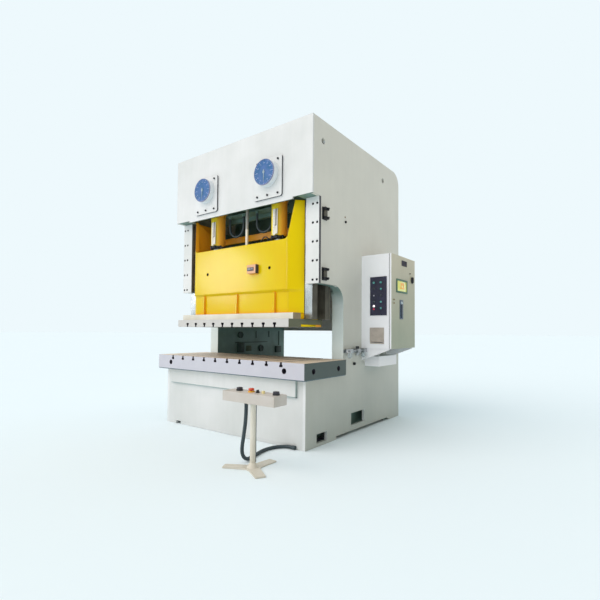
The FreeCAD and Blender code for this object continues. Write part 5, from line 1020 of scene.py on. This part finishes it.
# on the frame: painted shadow lines under the bolster and the base's strip, toe plates, gib screw
# brackets, lines on the throat's wall
frameDetailValues = {
    "bolsterShadowStrip": [((-1.346, -1.391, 0.7995), (1.346, -1.380, 0.8105)),
                    ((1.335, -1.380, 0.7995), (1.346, -0.498, 0.8105)),
                    ((-1.346, -1.380, 0.7995), (-1.335, -0.498, 0.8105))],
    "stripShadowLine": [((-1.160, -1.3085, 0.592), (1.1655, -1.2795, 0.6025)),
                  ((1.1595, -1.3085, 0.592), (1.1655, -1.2795, 0.800))],
    "toePlates": [((-0.970, -1.277, 0.001), (1.156, -1.262, 0.041)),
                  ((-1.156, -1.277, 0.001), (-1.090, -1.262, 0.041))],
    "side": 1.285, "screwRows": (2.059, 2.800), "screwY": -0.917,
    # reach out of the side from and to, half breadth, half height
    "plate": (-0.0005, 0.008, 0.053, 0.078), "core": (0.0075, 0.030, 0.026, 0.060),
    "plateSoft": 0.003, "ear": (0.0075, 0.046, 0.044, 0.016), "earRise": 0.056,
    "earSteps": [(0.005, 0)], "earSoft": 0.005,
    "stub": 0.0125, "stubReach": (0.045, 0.0655), "stubBack": 0.010, "stubSoft": 0.002,
    # grease blocks, valves and lines on the left column's inner wall
    "wall": -1.112, "sink": 0.0005, "valves": ((0.048, 1.288, 0.058), (0.578, 1.042, 0.058)),
    "valveDepth": 0.024, "valveSteps": [(0.012, 0), (0.003, -0.006)], "blockSoft": 0.002,
    "wallBlocks": ((-0.019, 0.985, 0.129, 1.146, 0.030), (-0.067, 1.151, 0.758, 1.163, 0.010),
                   (0.990, 0.948, 1.142, 1.069, 0.030), (0.446, 1.228, 0.456, 1.360, 0.010),
                   (0.797, 1.244, 0.807, 1.360, 0.010), (1.088, 1.086, 1.098, 1.360, 0.010)),
    "tag": (0.202, 1.000, 0.330, 1.095, 0.006),
    "plug": (0.010, 1.285, 1.292), "plugPlace": (-0.430, 2.866),
    "plugSteps": [(0.003, 0), (0.0005, -0.003)],
}


def addFrameDetails(v):
    # dark strips that paint the shadows under the bolster's edge and under the base's strip
    addBlocks("bolsterShadowStrip", "frame", "paintedBolsterShadow", "black_steel", v["bolsterShadowStrip"])
    addBlocks("stripShadowLine", "frame", "paintedStripShadow", "frame_dark", v["stripShadowLine"])
    addBlocks("toePlates", "frame", "paleEnamel", "frame_light", v["toePlates"])
    grey, dark = [], []

    def sideBlock(sign, size, z, soft=0):
        low, high = sorted(sign * (v["side"] + reach) for reach in size[:2])
        return startBlock((low, v["screwY"] - size[2], z - size[3]),
                          (high, v["screwY"] + size[2], z + size[3]), soft)

    for sign, row in ((sign, row) for sign in (-1, 1) for row in v["screwRows"]):
        dark.append(sideBlock(sign, v["plate"], row, v["plateSoft"]))
        grey.append(sideBlock(sign, v["core"], row, v["plateSoft"]))
        for z in (row - v["earRise"], row + v["earRise"]):
            ear = sideBlock(sign, v["ear"], z)
            dark.append(shapePiece(ear, "x", v["earSteps"], v["earSoft"], both=True))
            near, far = (sign * (v["side"] + reach) for reach in v["stubReach"])
            dark.append(startDisc("x", v["stub"], near, far, (v["screwY"] + v["stubBack"], z),
                                  20, soft=v["stubSoft"]))
    placePiece("gibScrewBrackets", dark, "frame", "blackOxide", "black_steel", "gib_adjusters")
    placePiece("gibScrewCores", grey, "frame", "oilAndShadeFlank", "black_steel")
    wall = v["wall"] - v["sink"]
    parts = [startDisc("x", radius, wall, v["wall"] + v["valveDepth"], (y, z), 32,
                       v["valveSteps"])
             for y, z, radius in v["valves"]]
    parts += [startBlock((wall, y0, z0), (v["wall"] + depth, y1, z1), v["blockSoft"])
              for y0, z0, y1, z1, depth in v["wallBlocks"]]
    placePiece("throatLines", parts, "frame", "greenShade", "frame_dark")
    y0, z0, y1, z1, depth = v["tag"]
    addBlocks("throatTag", "frame", "oliveTag", "frame_dark",
              [((wall, y0, z0), (v["wall"] + depth, y1, z1))])
    plug = startDisc("x", *v["plug"], v["plugPlace"], 20, v["plugSteps"])
    placePiece("plugUpper", [plug], "frame", "oiledTanShade", "black_steel")


addPanel(panelValues)
addDoor(doorValues)
print("cabinet fitted")
addConsole(consoleValues)
addSlideFittings(slideValues)
addFrameDetails(frameDetailValues)
print("control box, slide and frame fitted")

# floor, backdrop and light
roomValues = {"floor": "E8F3F8", "floorShade": "E6F2F7", "air": "EEF9FD", "shadedAir": "BFB6A8",
              "airStrength": 1.0, "size": 400, "below": 0.001}


def addRoom(v):
    material, tree, place = newFinish("paleFloor", {"Roughness": 1.0,
                                                    "Specular IOR Level": 0.0})
    cloud = addNode(tree, "TexNoise", {"Scale": 0.4, "Vector": place}).outputs["Fac"]
    colour = addNode(tree, "Mix", {
        "data_type": "RGBA", 0: cloud, 6: hexColour(v["floor"]),
        7: hexColour(v["floorShade"])}).outputs[2]
    tree.links.new(colour, tree.nodes["Principled BSDF"].inputs["Base Color"])
    bpy.ops.object.select_all(action="DESELECT")
    bpy.ops.mesh.primitive_plane_add(size=v["size"], location=(0, 0, -v["below"]))
    floor = bpy.context.object
    floor.name = "floor"
    bpy.ops.object.transform_apply()
    floor.data.materials.append(material)
    # pale air all round, dimmer over the right side as in a room with its window on the left
    world = bpy.data.worlds.new("paleRoom")
    bpy.context.scene.world = world
    world.use_nodes = True
    tree = world.node_tree
    heading = addNode(tree, "TexCoord").outputs["Generated"]
    across = addNode(tree, "SeparateXYZ", {0: heading}).outputs["X"]
    dim = addNode(tree, "MapRange", {
        "interpolation_type": "SMOOTHSTEP", "From Min": 0.2, "From Max": 0.75,
        "Value": across}).outputs[0]
    colour = addNode(tree, "Mix", {
        "data_type": "RGBA", 0: dim, 6: hexColour(v["air"]),
        7: hexColour(v["shadedAir"])}).outputs[2]
    seen = addNode(tree, "LightPath").outputs["Is Camera Ray"]
    colour = addNode(tree, "Mix", {
        "data_type": "RGBA", 0: seen, 6: colour, 7: hexColour(v["air"])}).outputs[2]
    sky = tree.nodes["Background"]
    tree.links.new(colour, sky.inputs["Color"])
    sky.inputs["Strength"].default_value = v["airStrength"]
    bpy.context.scene.view_settings.view_transform = "Standard"


# one wide, far lamp gives a direction to the shade without spots on the floor
lampValues = {"from": (-0.4, -0.72, 0.75), "strength": 1.35, "spread": 60, "colour": "FFEAE0",
              "glossPlaces": ((-8.8, -9.1, 3.7), (1.4, -12.0, 4.1)), "glossRadius": 1.2,
              "glossPower": 130, "glossAim": (0, -1.1, 2.2)}


def addLamps(v):
    lamp = bpy.data.lights.new("windowLight", "SUN")
    lamp.energy, lamp.angle = v["strength"], math.radians(v["spread"])
    lamp.color = hexColour(v["colour"])[:3]
    light = bpy.data.objects.new("windowLight", lamp)
    light.rotation_euler = Vector(v["from"]).to_track_quat("Z", "Y").to_euler()
    bpy.context.collection.objects.link(light)
    for i, place in enumerate(v["glossPlaces"]):  # round lamps that show only in the gloss
        lamp = bpy.data.lights.new(f"glossLight.{i}", "AREA")
        lamp.shape, lamp.size, lamp.energy = "DISK", v["glossRadius"] * 2, v["glossPower"]
        light = bpy.data.objects.new(lamp.name, lamp)
        light.location = place
        away = Vector(place) - Vector(v["glossAim"])
        light.rotation_euler = away.to_track_quat("Z", "Y").to_euler()
        light.visible_diffuse = False
        bpy.context.collection.objects.link(light)


addRoom(roomValues)
addLamps(lampValues)
print("room and lights set")
